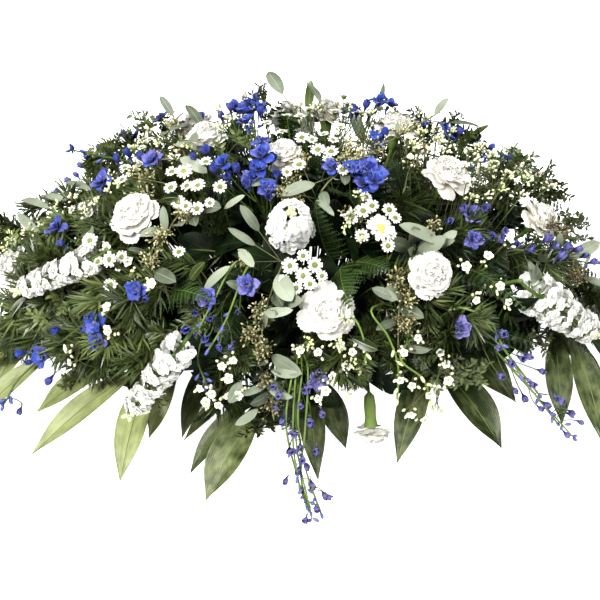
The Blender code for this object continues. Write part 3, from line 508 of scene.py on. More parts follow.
# What the solids leave out: more heads, buds, leaves and seeds, by pixel, on the same stems. The ones
# behind are guessed
EXTRA_DELPHINIUMS = {
    "delphinium_top": [
        ((246, 122), 20), ((260, 112), 16), ((236, 106), 18), ((250, 104), 20), ((228, 178), 18),
        ((277, 176), 16), ((258, 168), 20), ((262, 142), 22), ((272, 160), 16), ((214, 170), 18),
        ((248, 186), 18), ((270, 198), 16),
    ],
    "delphinium_left": [
        ((141, 158), 16), ((117, 160), 14), ((194, 158), 14), ((160, 156), 18), ((106, 174), 18),
    ],
    "delphinium_left_low": [((86, 328), 14), ((62, 244), 14), ((30, 362), 12), ((146, 298), 14)],
    "delphinium_right": [
        ((484, 210), 18), ((490, 238), 16), ((514, 244), 16), ((530, 250), 15), ((576, 250), 15),
        ((462, 210), 16), ((566, 248), 15), ((584, 256), 14), ((504, 232), 14), ((554, 246), 15),
        ((448, 222), 14),
    ],
    "delphinium_top_right": [
        ((352, 168), 22), ((384, 134), 16), ((364, 184), 22), ((332, 167), 20), ((374, 180), 20),
    ],
    "delphinium_centre_low": [((219, 346), 12), ((238, 312), 13), ((212, 318), 13), ((196, 312), 13)],
    "delphinium_trail": [
        ((300, 404), 13), ((322, 412), 12), ((298, 470), 13), ((316, 508), 12), ((318, 372), 18),
        ((306, 388), 16), ((310, 420), 15), ((280, 394), 14), ((294, 432), 14), ((316, 450), 13),
        ((302, 458), 13), ((312, 484), 13), ((328, 496), 12), ((300, 446), 12), ((276, 408), 12),
    ],
    "delphinium_right_trail": [
        ((532, 384), 13), ((556, 398), 13), ((510, 362), 14), ((580, 422), 12), ((528, 356), 14),
        ((502, 332), 16), ((560, 400), 14), ((524, 397), 13), ((540, 408), 12), ((570, 414), 13),
    ],
    "delphinium_back_right": [
        ((222, 222), 16), ((176, 214), 20), ((160, 230), 16), ((124, 232), 18), ((98, 258), 14),
        ((74, 270), 14), ((50, 300), 12), ((250, 240), 20), ((242, 208), 18), ((226, 212), 16),
        ((236, 222), 14),
    ],
    "delphinium_back_left": [
        ((356, 222), 20), ((390, 242), 16), ((412, 226), 18), ((456, 228), 20), ((470, 246), 16),
        ((500, 262), 16), ((528, 276), 14), ((552, 296), 13), ((574, 318), 12), ((346, 208), 20),
        ((364, 204), 18), ((378, 212), 16),
    ],
}
EXTRA_DAISIES = {
    "daisies_upper_left": [
        ((171, 188), 17), ((187, 186), 15), ((210, 203), 12), ((186, 206), 13), ((172, 172), 15),
    ],
    "daisies_top": [((328, 160), 14), ((343, 170), 14), ((312, 140), 13), ((287, 172), 12), ((333, 140), 13)],
    "daisies_right": [
        ((372, 206), 16), ((366, 197), 12), ((389, 210), 16), ((395, 218), 14), ((390, 234), 14),
    ],
    "daisies_centre": [((310, 284), 14), ((322, 276), 13), ((284, 280), 13), ((303, 256), 14)],
    "daisies_left": [
        ((140, 165), 15), ((125, 168), 13), ((122, 180), 14), ((98, 262), 15), ((179, 252), 14),
        ((82, 206), 11), ((72, 210), 11), ((90, 214), 11), ((150, 140), 12), ((142, 148), 11),
    ],
    "daisies_back": [
        ((244, 202), 15), ((258, 200), 14), ((286, 196), 15), ((212, 200), 13), ((232, 208), 13),
        ((268, 220), 14), ((292, 212), 13), ((208, 228), 12), ((246, 228), 13), ((300, 156), 14),
        ((276, 148), 13), ((318, 148), 13), ((258, 160), 13), ((290, 172), 14), ((314, 170), 13),
        ((334, 158), 12),
    ],
}
EXTRA_WAX = {
    "wax_low_left": [
        ((88, 265), 14), ((107, 247), 13), ((129, 262), 14), ((152, 284), 13), ((233, 360), 11),
        ((66, 348), 10), ((70, 362), 10), ((107, 307), 12), ((108, 330), 14), ((212, 394), 11),
        ((228, 396), 11), ((200, 388), 10),
    ],
    "wax_low_centre": [((332, 376), 11), ((352, 352), 11), ((300, 350), 11), ((318, 398), 11)],
    "wax_low_right": [
        ((415, 122), 13), ((430, 150), 12), ((465, 165), 12), ((424, 132), 13), ((404, 352), 11),
        ((412, 385), 11), ((408, 138), 12), ((438, 128), 12), ((418, 148), 12), ((444, 142), 12),
        ((426, 120), 11), ((410, 158), 11), ((478, 146), 11), ((488, 152), 10), ((496, 162), 10),
        ((484, 166), 10), ((508, 172), 10), ((470, 150), 10), ((418, 338), 10), ((400, 380), 11),
        ((510, 240), 11), ((476, 300), 11), ((508, 302), 11), ((440, 352), 11),
    ],
    "wax_back": [
        ((372, 330), 12), ((410, 312), 11), ((430, 330), 12), ((386, 328), 11), ((440, 350), 11),
        ((404, 360), 11), ((362, 346), 11), ((450, 330), 11),
    ],
}
# Buds of one cluster, and the clusters' pixels
BUDS_TOGETHER = 12
EXTRA_BUDS = {
    "wax_low_right": [
        (408, 125), (418, 116), (430, 122), (424, 135), (436, 142), (450, 134), (412, 146), (400, 134),
        (444, 152), (480, 150), (492, 158), (502, 150), (488, 172), (508, 178), (518, 170), (476, 164),
        (466, 184), (524, 182), (536, 178), (548, 188), (500, 190), (470, 200), (486, 196), (520, 198),
    ],
    "daisies_left": [
        (60, 208), (75, 200), (86, 214), (98, 204), (110, 192), (122, 186), (112, 178), (132, 172),
        (142, 142), (150, 134), (160, 146), (134, 152), (46, 226), (30, 232), (14, 238), (8, 248),
    ],
    "daisies_upper_left": [
        (232, 118), (222, 130), (242, 100), (218, 112), (190, 150), (176, 160), (168, 128),
    ],
    "daisies_right": [(358, 196), (350, 216), (344, 226), (360, 240)],
    "wax_low_centre": [(338, 342), (352, 362), (306, 342), (346, 320)],
    "wax_back": [
        (366, 318), (392, 300), (414, 300), (434, 318), (446, 340), (428, 356), (406, 372), (380, 352),
    ],
    "daisies_back": [(196, 214), (224, 180), (250, 176), (282, 186), (300, 200)],
}
EXTRA_LEAVES = {
    "eucalyptus_trail": [(240, 205), (228, 228), (285, 292), (277, 313), (280, 373), (240, 395), (226, 282)],
    "eucalyptus_upper_left": [(206, 150), (150, 118), (184, 150)],
    "eucalyptus_left": [(196, 226), (140, 236)],
    "eucalyptus_top": [(335, 180), (395, 130), (345, 185), (328, 207), (262, 186)],
    "eucalyptus_right": [(455, 240), (436, 240), (408, 250), (376, 330), (430, 350)],
    "eucalyptus_far_right": [(530, 272), (590, 242), (548, 262)],
    "eucalyptus_back": [(176, 270), (250, 320), (150, 340), (230, 370), (200, 300)],
}
EXTRA_SEEDS = {
    "eucalyptus_trail": [(262, 352), (250, 336), (260, 310), (240, 262)],
    "eucalyptus_upper_left": [(155, 160), (140, 178)],
    "eucalyptus_left": [(185, 215), (137, 196), (160, 238), (150, 262)],
    "eucalyptus_top": [(290, 180), (300, 160), (295, 205), (350, 150), (282, 196), (345, 160)],
    "eucalyptus_right": [(350, 215), (420, 150), (405, 300), (432, 226), (408, 322), (396, 280)],
    "eucalyptus_far_right": [(550, 225), (560, 230), (570, 280), (578, 275)],
    "eucalyptus_back": [(212, 300), (196, 340), (178, 370)],
}
# Leaves that the photograph shows alone, by finish: the pixels of base and tip, the width in pixels and
# the tone
SINGLE_LEAVES = [
    ("Small leaf", [((308, 114), (311, 80), 9, 0.5), ((465, 143), (489, 125), 8, 0.9)]),
    (
        "Eucalyptus leaf",
        [
            ((204, 131), (186, 105), 10, 0.15), ((193, 126), (170, 131), 9, 0.3),
            ((202, 150), (174, 145), 14, 0.75), ((207, 173), (180, 158), 15, 0.9),
            ((50, 209), (21, 200), 9, 0.8), ((67, 201), (44, 195), 7, 0.6), ((91, 190), (66, 182), 8, 0.4),
            ((40, 232), (18, 214), 10, 0.9), ((224, 209), (245, 195), 6, 0.9),
            ((276, 181), (250, 186), 9, 0.6), ((204, 290), (230, 266), 9, 0.9),
            ((239, 249), (254, 267), 9, 0.95), ((277, 275), (292, 301), 17, 0.9),
            ((440, 243), (399, 225), 14, 0.7), ((440, 244), (457, 231), 9, 0.6),
            ((530, 261), (533, 284), 12, 0.85), ((261, 315), (293, 310), 9, 0.95),
            ((271, 371), (301, 374), 9, 0.95), ((269, 391), (293, 397), 8, 0.9),
            ((258, 409), (235, 425), 9, 0.8), ((241, 382), (229, 403), 11, 0.4),
            ((166, 230), (163, 206), 8, 0.4), ((316, 200), (334, 216), 7, 0.5),
            ((372, 288), (398, 300), 9, 0.3),
        ],
    ),
    (
        "Small leaf",
        [
            ((190, 280), (205, 262), 9, 0.2), ((160, 200), (178, 198), 14, 0.1),
            ((352, 338), (378, 350), 10, 0.0),
        ],
    ),
]
# Low palm leaves beside them: the pixels of base and tip, the width in pixels and the tone. The pale tones on
# the left are partly the leaves' own colour and partly painted light shining through them
LOW_LEAVES = [
    ((126, 356), (37, 411), 26, 0.72), ((176, 380), (149, 438), 15, 0.7), ((40, 322), (-4, 384), 26, 0.74),
    ((440, 322), (515, 400), 34, 0.09), ((418, 326), (442, 388), 26, 0.07),
    ((380, 322), (372, 384), 24, 0.06), ((330, 330), (342, 388), 22, 0.06),
    ((400, 322), (412, 386), 24, 0.08), ((505, 318), (548, 352), 22, 0.09),
    ((548, 330), (606, 386), 22, 0.11), ((216, 350), (182, 438), 22, 0.23),
]

# How pale each palm is, and each eucalyptus branch's seeds, where they differ from the rest. The pale left
# palm is partly its own paler colour and partly painted light shining through its thin leaflets
PALM_TONE = 0.09
PALM_TONES = {"palm_left": 0.74, "palm_left_centre": 0.22, "palm_back_left": 0.35}
SEED_TONE = 0.5
SEED_TONES = {"eucalyptus_far_right": 0.12, "eucalyptus_top": 0.6, "eucalyptus_left": 0.75}

# Seeds of one cluster and the reach of their stalks
SEEDS_TOGETHER = 24
SEED_REACH = 0.013

# The usual length of a small leaf on a twig
SMALL_LEAF_LENGTH = 0.0105

# Pairs of side ribs on a frond and of small leaves on a side rib, and the frond's bare share at its foot
FROND_PAIRS = 15
PINNULE_PAIRS = 8
FROND_BARE = 0.24

# Foliage that closes the mound: how many sprigs and clusters of inner leaves, and where they lie in it
FILL_COUNT = 190
FILL_LOWEST = 0.02
FILL_DEPTHS = (0.58, 0.76)
FILL_TIPS = (0.84, 0.97)
INNER_COUNT = 130
INNER_RISES = (0.46, 0.72)
INNER_LEAVES = 4
INNER_LENGTHS = (0.045, 0.075)
INNER_WIDTH = 0.036
# Their stems enter the foam at a share of the way to the leaves, and no farther out than this
ROOT_SHARES = (0.6, 0.4)
ROOT_REACHES = (0.2, 0.045)
ROOT_HEIGHT = 0.07
FOAM_STEM_RADIUS = 0.0012
# Sprigs stay this many radii from a large bloom, and out of circles of pixels that the photograph shows bare
CLEARANCE = 1.45
BARE_PIXELS = [
    (369, 405, 26), (371, 430, 24), (160, 425, 24), (90, 400, 26), (60, 425, 26), (120, 415, 22),
    (225, 425, 18), (42, 392, 24), (10, 400, 24), (345, 410, 20), (290, 350, 10), (468, 418, 22),
    (405, 424, 18), (498, 424, 22), (515, 380, 14), (320, 112, 16), (345, 125, 16), (395, 124, 16),
    (480, 400, 16), (560, 400, 24), (590, 390, 24), (440, 420, 24),
]
FILL_KINDS = ["fern", "small", "needle", "long", "broad"]
# The longest side rib or leaf of each kind, and the width of the broad leaves
SPRIG_SIZES = {"fern": 0.046, "small": 0.040, "needle": 0.024, "long": 0.046, "broad": 0.042}
# Width, slant and pairs of the narrow leaves
NEEDLES = {"needle": (0.0022, 0.75, 16), "long": (0.0034, 1.05, 7)}
# The longest side rib or side twig of the plants that have solids
FERN_LONGEST = 0.044
FOLIAGE_LONGEST = 0.034
# Each kind's share in each third of the mound
FILL_SHARES = {
    "left": [0.1, 0.2, 0.24, 0.36, 0.1],
    "middle": [0.36, 0.26, 0.1, 0.06, 0.22],
    "right": [0.24, 0.36, 0.16, 0.1, 0.14],
}

# How light the leaves are in each third of the mound
REGION_TONES = {"left": (0.08, 0.5), "middle": (0.0, 0.14), "right": (0.0, 0.3)}

# Sprigs that the photograph shows on the near side, by kind: the pixels of the base and the tip
SPRIG_RISES = (0.74, 0.94)
SPRIGS = {
    "small": [
        ((165, 165), (140, 120)), ((172, 165), (164, 122)), ((150, 170), (128, 138)),
        ((232, 145), (220, 108)), ((270, 142), (262, 95)), ((288, 145), (282, 100)),
        ((200, 160), (188, 120)), ((95, 225), (70, 203)), ((110, 235), (58, 228)), ((430, 150), (420, 118)),
        ((446, 152), (452, 125)), ((480, 180), (478, 138)), ((500, 192), (520, 160)),
        ((510, 202), (545, 178)), ((520, 215), (556, 193)), ((488, 205), (500, 163)),
        ((470, 215), (508, 198)), ((495, 228), (530, 214)), ((455, 222), (440, 200)),
        ((540, 242), (576, 222)), ((300, 330), (285, 372)), ((410, 165), (400, 128)),
        ((120, 175), (105, 150)), ((462, 180), (462, 140)),
    ],
    "needle": [
        ((125, 195), (96, 166)), ((380, 310), (362, 356)), ((400, 320), (396, 362)),
        ((420, 310), (428, 352)), ((250, 320), (238, 358)), ((205, 330), (192, 362)),
        ((330, 330), (322, 364)), ((440, 290), (448, 325)), ((560, 280), (596, 300)),
        ((545, 300), (580, 330)), ((104, 282), (50, 258)), ((66, 296), (20, 272)),
    ],
    "long": [
        ((90, 252), (20, 238)), ((80, 268), (2, 250)), ((110, 280), (40, 262)), ((112, 300), (30, 290)),
        ((120, 312), (18, 312)), ((112, 322), (14, 336)), ((132, 332), (70, 344)), ((60, 292), (-12, 300)),
        ((172, 330), (140, 360)), ((192, 322), (170, 352)), ((160, 300), (110, 335)),
        ((350, 320), (338, 362)), ((440, 300), (446, 335)), ((150, 270), (100, 300)),
        ((210, 310), (196, 345)), ((70, 240), (8, 228)), ((60, 320), (-4, 340)),
    ],
    "fern": [
        ((405, 210), (392, 160)), ((415, 205), (424, 164)), ((480, 290), (522, 260)),
        ((490, 302), (532, 288)), ((470, 280), (505, 252)), ((340, 230), (352, 290)),
        ((240, 300), (225, 340)),
    ],
    "broad": [
        ((120, 320), (92, 352)), ((150, 340), (128, 378)), ((82, 310), (50, 338)), ((500, 300), (520, 330)),
        ((530, 300), (560, 330)), ((490, 296), (478, 345)), ((510, 306), (506, 348)),
        ((524, 312), (536, 352)), ((60, 300), (20, 330)), ((100, 330), (70, 368)), ((480, 300), (490, 330)),
        ((330, 340), (342, 376)), ((380, 330), (376, 372)), ((420, 310), (412, 350)),
        ((270, 330), (262, 376)),
    ],
}


def sight_line(pixel, side):
    """Start and direction of the line of sight through a pixel, seen from the front or from behind."""
    across = (pixel[0] / PHOTO_PIXELS - 0.5) * PHOTO_SPAN / PHOTO_DISTANCE
    upward = (0.5 - pixel[1] / PHOTO_PIXELS) * PHOTO_SPAN / PHOTO_DISTANCE
    cos, sin = math.cos(PHOTO_ELEVATION), math.sin(PHOTO_ELEVATION)
    start = PHOTO_AIM + Vector((0, -cos, sin)) * PHOTO_DISTANCE
    direction = Vector((across, cos + upward * sin, upward * cos - sin))
    if side == BEHIND:
        start = Vector((-start.x, -start.y, start.z))
        direction = Vector((-direction.x, -direction.y, direction.z))
    return start, direction.normalized()


def on_mound(pixel, side, rise=1.0):
    """The point that a pixel shows of the mound, made `rise` times as large, or of its skirt."""
    start, direction = sight_line(pixel, side)
    s = Vector([(start - MOUND_MIDDLE)[i] / (MOUND_HALF[i] * rise) for i in range(3)])
    d = Vector([direction[i] / (MOUND_HALF[i] * rise) for i in range(3)])
    a, b, c = d.dot(d), s.dot(d), s.dot(s) - 1
    point = start + direction * ((-b - math.sqrt(max(b * b - a * c, 0))) / a)
    lowest = SKIRT_HEIGHT + SKIRT_SLOPE * max(rise - 1, -0.05)
    return point if point.z > lowest else on_level(pixel, side, lowest)


def on_level(pixel, side, height):
    """The point at a height above the table that a pixel shows."""
    start, direction = sight_line(pixel, side)
    return start + direction * ((height - start.z) / direction.z)


def nudged(pixel, side, nudges, lift=0.0):
    """The points of the mound, lifted by a share, that a pixel and its nudges show."""
    return [on_mound((pixel[0] + dx, pixel[1] + dy), side, rise + lift) for rise, dx, dy in nudges]


def outward(point):
    """The mound's outward direction at a point."""
    p = point - MOUND_MIDDLE
    return Vector([p[i] / MOUND_HALF[i] ** 2 for i in range(3)]).normalized()


def smooth(points, count):
    """Points evenly spread on a Catmull-Rom curve through the given ones."""
    ends = [points[0] * 2 - points[1], *points, points[-1] * 2 - points[-2]]
    curve = []
    for k in range(count):
        place = k * (len(points) - 1) / (count - 1)
        i = min(int(place), len(points) - 2)
        t = place - i
        a, b, c, d = ends[i : i + 4]
        cubic = b * 3 - a - c * 3 + d
        curve.append((b * 2 + (c - a) * t + (a * 2 - b * 5 + c * 4 - d) * t**2 + cubic * t**3) / 2)
    return curve


def along_line(line, share):
    """The point at a share of a line's length."""
    lengths = [(b - a).length for a, b in zip(line, line[1:])]
    left = share * sum(lengths)
    for i, length in enumerate(lengths):
        if left <= length or i == len(lengths) - 1:
            return line[i].lerp(line[i + 1], min(left / length, 1))
        left -= length


def node_cloud(name):
    """The points of a solid, as an array."""
    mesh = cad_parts[name].data
    cloud = np.empty(len(mesh.vertices) * 3, np.float32)
    mesh.vertices.foreach_get("co", cloud)
    return cloud.reshape(-1, 3).astype(float)


def stem_knots(places, shift, bend):
    """A stem's root, the point where it leaves the foam, and the points that its curve goes through."""
    first = places[0]
    spine = Vector((max(-SPINE_REACH, min(SPINE_REACH, SPINE_SHARE * first.x)) + shift, 0, SPINE_HEIGHT))
    out = (first - spine).normalized()
    flat = math.hypot(out.x, out.y)
    if math.atan2(out.z, flat) < LOWEST_RISE:
        out = Vector((out.x, out.y, flat * math.tan(LOWEST_RISE))).normalized()
    walls = (FOAM_SIZE.x / 2, FOAM_SIZE.y / 2, TRAY_FLOOR + FOAM_SIZE.z)
    reaches = [(math.copysign(wall, o) - s) / o for wall, s, o in zip(walls, spine, out) if o]
    leave = spine + out * (min(reaches) + FREE_MARGIN)
    middle = leave.lerp(first, 0.5) + out * (first - leave).length * 0.06 + bend
    return spine + out * ROOT_START, [leave, middle, *places]


class Stem:
    """A plant's stem as its solid has it: the coarse line that branches start from, and a fine one."""

    def __init__(self, name, path, radii, count):
        self.cloud = node_cloud(name)
        best = None
        for lift, bend, shift in itertools.product(LIFTS, BENDS, SHIFTS):
            root, knots = stem_knots(path(lift), shift, bend)
            line = [root, knots[0], *smooth(knots, count)[1:]]
            steps = len(line) - 1
            off = 0
            for i, point in enumerate(line):
                radius = radii[0] + (radii[1] - radii[0]) * i / steps
                gap = np.sqrt(((self.cloud - np.array(point)) ** 2).sum(1).min())
                off = max(off, abs(gap - radius))
            if best is None or off < best[0]:
                best = (off, line, root, knots)
            if off < STEM_MATCH:
                break
        _, self.line, root, knots = best
        self.fine = [root, *smooth(knots, STEM_ROWS - 1)]
        self.radii = radii

    def at(self, share):
        """The point of the coarse line at a share of its length, moved to the fine line."""
        point = along_line(self.line, share)
        return min(self.fine_points(), key=lambda p: (p - point).length)

    def fine_points(self):
        """Closely spaced points on the fine line past the foam."""
        return [a.lerp(b, k / 4) for a, b in zip(self.fine[1:], self.fine[2:]) for k in range(5)]

    def branch(self, goal, back=0.6):
        """Where a stalk to a goal starts: below the nearest point, so that the stalk leans up."""
        spots = self.fine_points()
        nearest = min(range(len(spots)), key=lambda i: (spots[i] - goal).length)
        reach = (spots[nearest] - goal).length
        i = nearest
        while i > 0 and (spots[nearest] - spots[i]).length < reach * back:
            i -= 1
        return spots[i]

    def settle(self, spots, reach=0.0):
        """The first spot at a reach from a point of the solid, or the nearest to it, and that point."""
        best = None
        for spot in spots:
            gaps = np.abs(np.sqrt(((self.cloud - np.array(spot)) ** 2).sum(1)) - reach)
            i = int(gaps.argmin())
            if best is None or gaps[i] < best[0]:
                best = (gaps[i], spot, Vector(self.cloud[i]))
            if gaps[i] < HEAD_MATCH:
                break
        return best[1], best[2]


def unit(v):
    """Vectors of length one."""
    return v / np.maximum(np.linalg.norm(v, axis=-1, keepdims=True), 1e-12)


def rows_of(points):
    """Points as the rows of an array."""
    return np.array([list(p) for p in points])


def draw_from(name):
    """A seeded source of chance for a named plant."""
    return np.random.default_rng(zlib.crc32(name.encode()))


def blades(base, along, face, length, width, outline, columns=3, **form):
    """N leaf or petal surfaces as grids of rows and columns.

    Each starts at base, runs along and bends away from its face. outline gives each row's width as a
    share. In form, arch is the bend in radians, cup lifts the edges, wave and waves ruffle them with a
    phase, rim rounds the far end and tooth cuts it."""
    base, along, face = (np.atleast_2d(np.asarray(v, float)) for v in (base, along, face))
    count = max(len(base), len(along))

    def each(key):
        value = key if not isinstance(key, str) else form.get(key, 0)
        return np.broadcast_to(np.asarray(value, float), (count,))[:, None, None]

    along = unit(along)
    side = unit(np.cross(along, face))
    up = np.cross(side, along)
    outline = np.asarray(outline, float)[None, :, None]
    t = np.linspace(0, 1, outline.shape[1])[None, :, None]
    s = np.linspace(-1, 1, columns)[None, None, :]
    bend = each("arch")
    bend = np.where(np.abs(bend) < 1e-3, 1e-3, bend)
    half = each(width) / 2 * outline
    zigzag = np.where(np.arange(columns) % 2, 1, -1)[None, None, :] * (t > 0.99)
    reach = each(length) * (1 - each("rim") * s**2 * t**2 + each("tooth") * zigzag)
    ahead = np.sin(bend * t) / bend * reach
    drop = (1 - np.cos(bend * t)) / bend * reach
    ruffle = np.sin(each(form.get("waves", 3)) * math.pi * s + each("phase") + 2 * t)
    lift = each("cup") * half * s**2 + each("wave") * each(width) * t**2 * ruffle
    return (
        base[:, None, None]
        + along[:, None, None] * (ahead + np.sin(bend * t) * lift)[..., None]
        + up[:, None, None] * (np.cos(bend * t) * lift - drop)[..., None]
        + side[:, None, None] * (half * s)[..., None]
    )


def bowed(base, tip, face, bow):
    """The start direction, length and arch of a blade that bows from base to tip towards its face."""
    base, tip, face = (np.atleast_2d(np.asarray(v, float)) for v in (base, tip, face))
    chord = tip - base
    span = np.linalg.norm(chord, axis=1)
    ahead = unit(chord)
    up = np.cross(unit(np.cross(ahead, face)), ahead)
    arch = 4 * np.arctan(2 * np.asarray(bow, float)) * np.ones(len(span))
    arch = np.where(np.abs(arch) < 1e-3, 1e-3, arch)
    along = ahead * np.cos(arch / 2)[:, None] + up * np.sin(arch / 2)[:, None]
    return along, span * arch / (2 * np.sin(arch / 2)), arch


def tubes(lines, radii, sides=5):
    """N round stems as closed grids, from N x R x 3 lines and a radius for each row."""
    lines = np.asarray(lines, float)
    if lines.ndim == 2:
        lines = lines[None]
    ahead = unit(np.gradient(lines, axis=1))
    whole = unit(lines[:, -1] - lines[:, 0])
    pick = np.where(np.abs(whole[:, :1]) < 0.6, np.array([[1.0, 0, 0]]), np.array([[0, 1.0, 0]]))
    side = unit(np.cross(ahead, pick[:, None]))
    other = np.cross(ahead, side)
    a = math.tau * np.arange(sides) / sides
    radii = np.broadcast_to(np.asarray(radii, float), lines.shape[:2])[..., None, None]
    ring = side[:, :, None] * np.cos(a)[:, None] + other[:, :, None] * np.sin(a)[:, None]
    return lines[:, :, None] + ring * radii


def curved(start, middle, end, rows=6):
    """Lines that bend from start to end towards a middle point, as N x rows x 3."""
    start, middle, end = (np.atleast_2d(np.asarray(v, float))[:, None] for v in (start, middle, end))
    t = np.linspace(0, 1, rows)[None, :, None]
    return start * (1 - t) ** 2 + middle * 2 * t * (1 - t) + end * t**2


def domes(centre, axis, radius, height, rows=5, sides=10, sink=0.15):
    """Rounded heads as closed grids: flower hearts, seeds and buds."""
    centre, axis = (np.atleast_2d(np.asarray(v, float)) for v in (centre, axis))
    count = len(centre)
    pick = np.where(np.abs(axis[:, :1]) < 0.6, np.array([[1.0, 0, 0]]), np.array([[0, 1.0, 0]]))
    side = unit(np.cross(axis, pick))
    other = np.cross(axis, side)
    angle = np.linspace(-sink * math.pi, math.pi / 2 - 0.02, rows)
    radius = np.broadcast_to(np.asarray(radius, float), (count,))[:, None, None, None]
    height = np.broadcast_to(np.asarray(height, float), (count,))[:, None, None, None]
    a = math.tau * np.arange(sides) / sides
    ring = side[:, None, None] * np.cos(a)[:, None] + other[:, None, None] * np.sin(a)[:, None]
    out = ring * (radius * np.cos(angle)[:, None, None])
    return centre[:, None, None] + out + axis[:, None, None] * (height * np.sin(angle)[:, None, None])


class Growth:
    """Gathers grids into one mesh. Each point's place is its column, row and the plant's tone."""

    def __init__(self):
        self.grids = []

    def add(self, grid, finish, tone=0.5, closed=False):
        """Adds N grids of one finish, all open sheets or all closed round."""
        tone = np.broadcast_to(np.asarray(tone, float), (len(grid),))
        self.grids.append((grid, finish, tone, closed))

    def build(self, name, slot, *nodes):
        """Makes the piece, which rides on the spray and stands for the named solids."""
        finishes = list(dict.fromkeys(finish for _, finish, _, _ in self.grids))
        points, places, quads, indices = [], [], [], []
        first = 0
        for grid, finish, tone, closed in self.grids:
            count, rows, columns, _ = grid.shape
            corner = first + np.arange(count * rows * columns).reshape(count, rows, columns)
            beside = np.roll(corner, -1, axis=2) if closed else corner[:, :, 1:]
            here = corner if closed else corner[:, :, :-1]
            corners = [here[:, :-1], beside[:, :-1], beside[:, 1:], here[:, 1:]]
            quad = np.stack(corners, axis=-1).reshape(-1, 4)
            across = np.linspace(-1, 1, columns)[None, None, :]
            along = np.linspace(0, 1, rows)[None, :, None]
            place = np.empty(grid.shape)
            place[..., 0], place[..., 1], place[..., 2] = across, along, tone[:, None, None]
            points.append(grid.reshape(-1, 3))
            places.append(place.reshape(-1, 3))
            quads.append(quad)
            indices.append(np.full(len(quad), finishes.index(finish), np.int32))
            first += count * rows * columns
        points, places, quads, indices = (np.concatenate(a) for a in (points, places, quads, indices))
        points[:, 2] = np.maximum(points[:, 2], FLOOR_GAP)
        mesh = bpy.data.meshes.new(name)
        mesh.vertices.add(len(points))
        mesh.vertices.foreach_set("co", points.astype(np.float32).ravel())
        mesh.loops.add(quads.size)
        mesh.loops.foreach_set("vertex_index", quads.astype(np.int32).ravel())
        mesh.polygons.add(len(quads))
        mesh.polygons.foreach_set("loop_start", np.arange(0, quads.size, 4, dtype=np.int32))
        mesh.polygons.foreach_set("material_index", indices)
        mesh.polygons.foreach_set("use_smooth", np.ones(len(quads), bool))
        mesh.attributes.new("place", "FLOAT_VECTOR", "POINT").data.foreach_set(
            "vector", places.astype(np.float32).ravel()
        )
        mesh.update(calc_edges=True)
        for finish in finishes:
            mesh.materials.append(finish_named(finish))
        piece = bpy.data.objects.new(name, mesh)
        bpy.context.scene.collection.objects.link(piece)
        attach(piece, "root")
        if nodes:
            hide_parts(*nodes)
        return piece


def around(axis, angles):
    """Directions at angles round an axis, as an array."""
    turning = np.array(turned_to(Vector(axis), 0))
    flat = np.stack([np.cos(angles), np.sin(angles), np.zeros(len(angles))], axis=-1)
    return flat @ turning.T


def ring_of_petals(growth, finish, centre, axis, size, ring, draw, tone):
    """One ring of petals round a flower's middle.

    ring gives their number, lean from the axis in degrees at the start, bend in degrees, length, width,
    and the height that they start from, in flower radii, then their outline, columns and form."""
    count, lean, bend, length, width, height, outline, columns, form = ring
    turn = draw.uniform(0, math.tau)
    angles = turn + math.tau * (np.arange(count) + draw.uniform(-0.16, 0.16, count)) / count
    out = around(axis, angles)
    lean = np.radians(lean + draw.uniform(-1, 1, count) * form.get("loose", 6))[:, None]
    axis = np.array(axis)[None]
    along = out * np.sin(lean) + axis * np.cos(lean)
    face = axis * np.sin(lean) - out * np.cos(lean)
    if "roll" in form:
        roll = np.radians(draw.uniform(-1, 1, count) * form["roll"])[:, None]
        face = face * np.cos(roll) + np.cross(along, face) * np.sin(roll)
    base = np.array(centre)[None] + axis * height * size + out * 0.02 * size
    loose = draw.uniform(0.92, 1.08, count)
    form = dict(form, arch=np.radians(bend) * draw.uniform(0.8, 1.2, count), phase=draw.uniform(0, 6, count))
    grid = blades(base, along, face, length * size * loose, width * size * loose, outline, columns, **form)
    mottle = form.get("mottle", 0.1)
    growth.add(grid, finish, np.clip(tone + draw.uniform(-1, 1, count) * mottle, 0, 1))


def add_stem(growth, stem, finish, tone, sides=6, share=1.0):
    """A plant's own stem, standing in its hole in the foam."""
    line = rows_of(stem.fine)
    steps = np.linspace(0, 1, len(line))
    radii = stem.radii[0] + (stem.radii[1] - stem.radii[0]) * steps
    growth.add(tubes(line, radii * share, sides), finish, tone, closed=True)


def add_extra_stems(growth, name, stem, side, finish):
    """More stems beside a trail, which part from its own stem and end in small buds."""
    for pixels in EXTRA_STEMS.get(name, ()):
        places = [on_mound(pixel, side, 0.98) for pixel in pixels]
        line = smooth([stem.branch(places[0], 1.2), *places], STEM_ROWS)
        growth.add(tubes(rows_of(line), EXTRA_STEM_RADIUS, 6), "Green stem", 1.0, closed=True)
        for k in range(EXTRA_STEM_BUDS):
            root = line[-1 - 2 * k]
            ahead = (root - line[-3 - 2 * k]).normalized()
            beside = min(k, 1)
            aim = (flank(ahead, GOLDEN_ANGLE * k) * 0.9 * beside + ahead).normalized()
            spot = root + aim * 0.005 * beside
            add_stalk(growth, root, spot + aim * 0.001, aim, "Green stem", 1.0, BUD_STALK, 3)
            add_bud(growth, spot, aim, TRAIL_BUD, finish, 0.4)


def add_stalk(growth, start, neck, axis, finish, tone, radius, sides=4):
    """A flower's stalk, which arrives along the flower's axis."""
    start, neck, axis = (np.array(v, float) for v in (start, neck, axis))
    reach = np.linalg.norm(neck - start)
    line = curved(start, neck - axis * reach * 0.45, neck, 6)
    growth.add(tubes(line, np.linspace(radius, radius * 1.3, 6), sides), finish, tone, closed=True)


def add_bud(growth, spot, aim, size, finish, tone):
    """A closed bud of a radius and height that points along its aim."""
    growth.add(domes(spot, aim, *size, 5, 6, 0.4), finish, tone, closed=True)


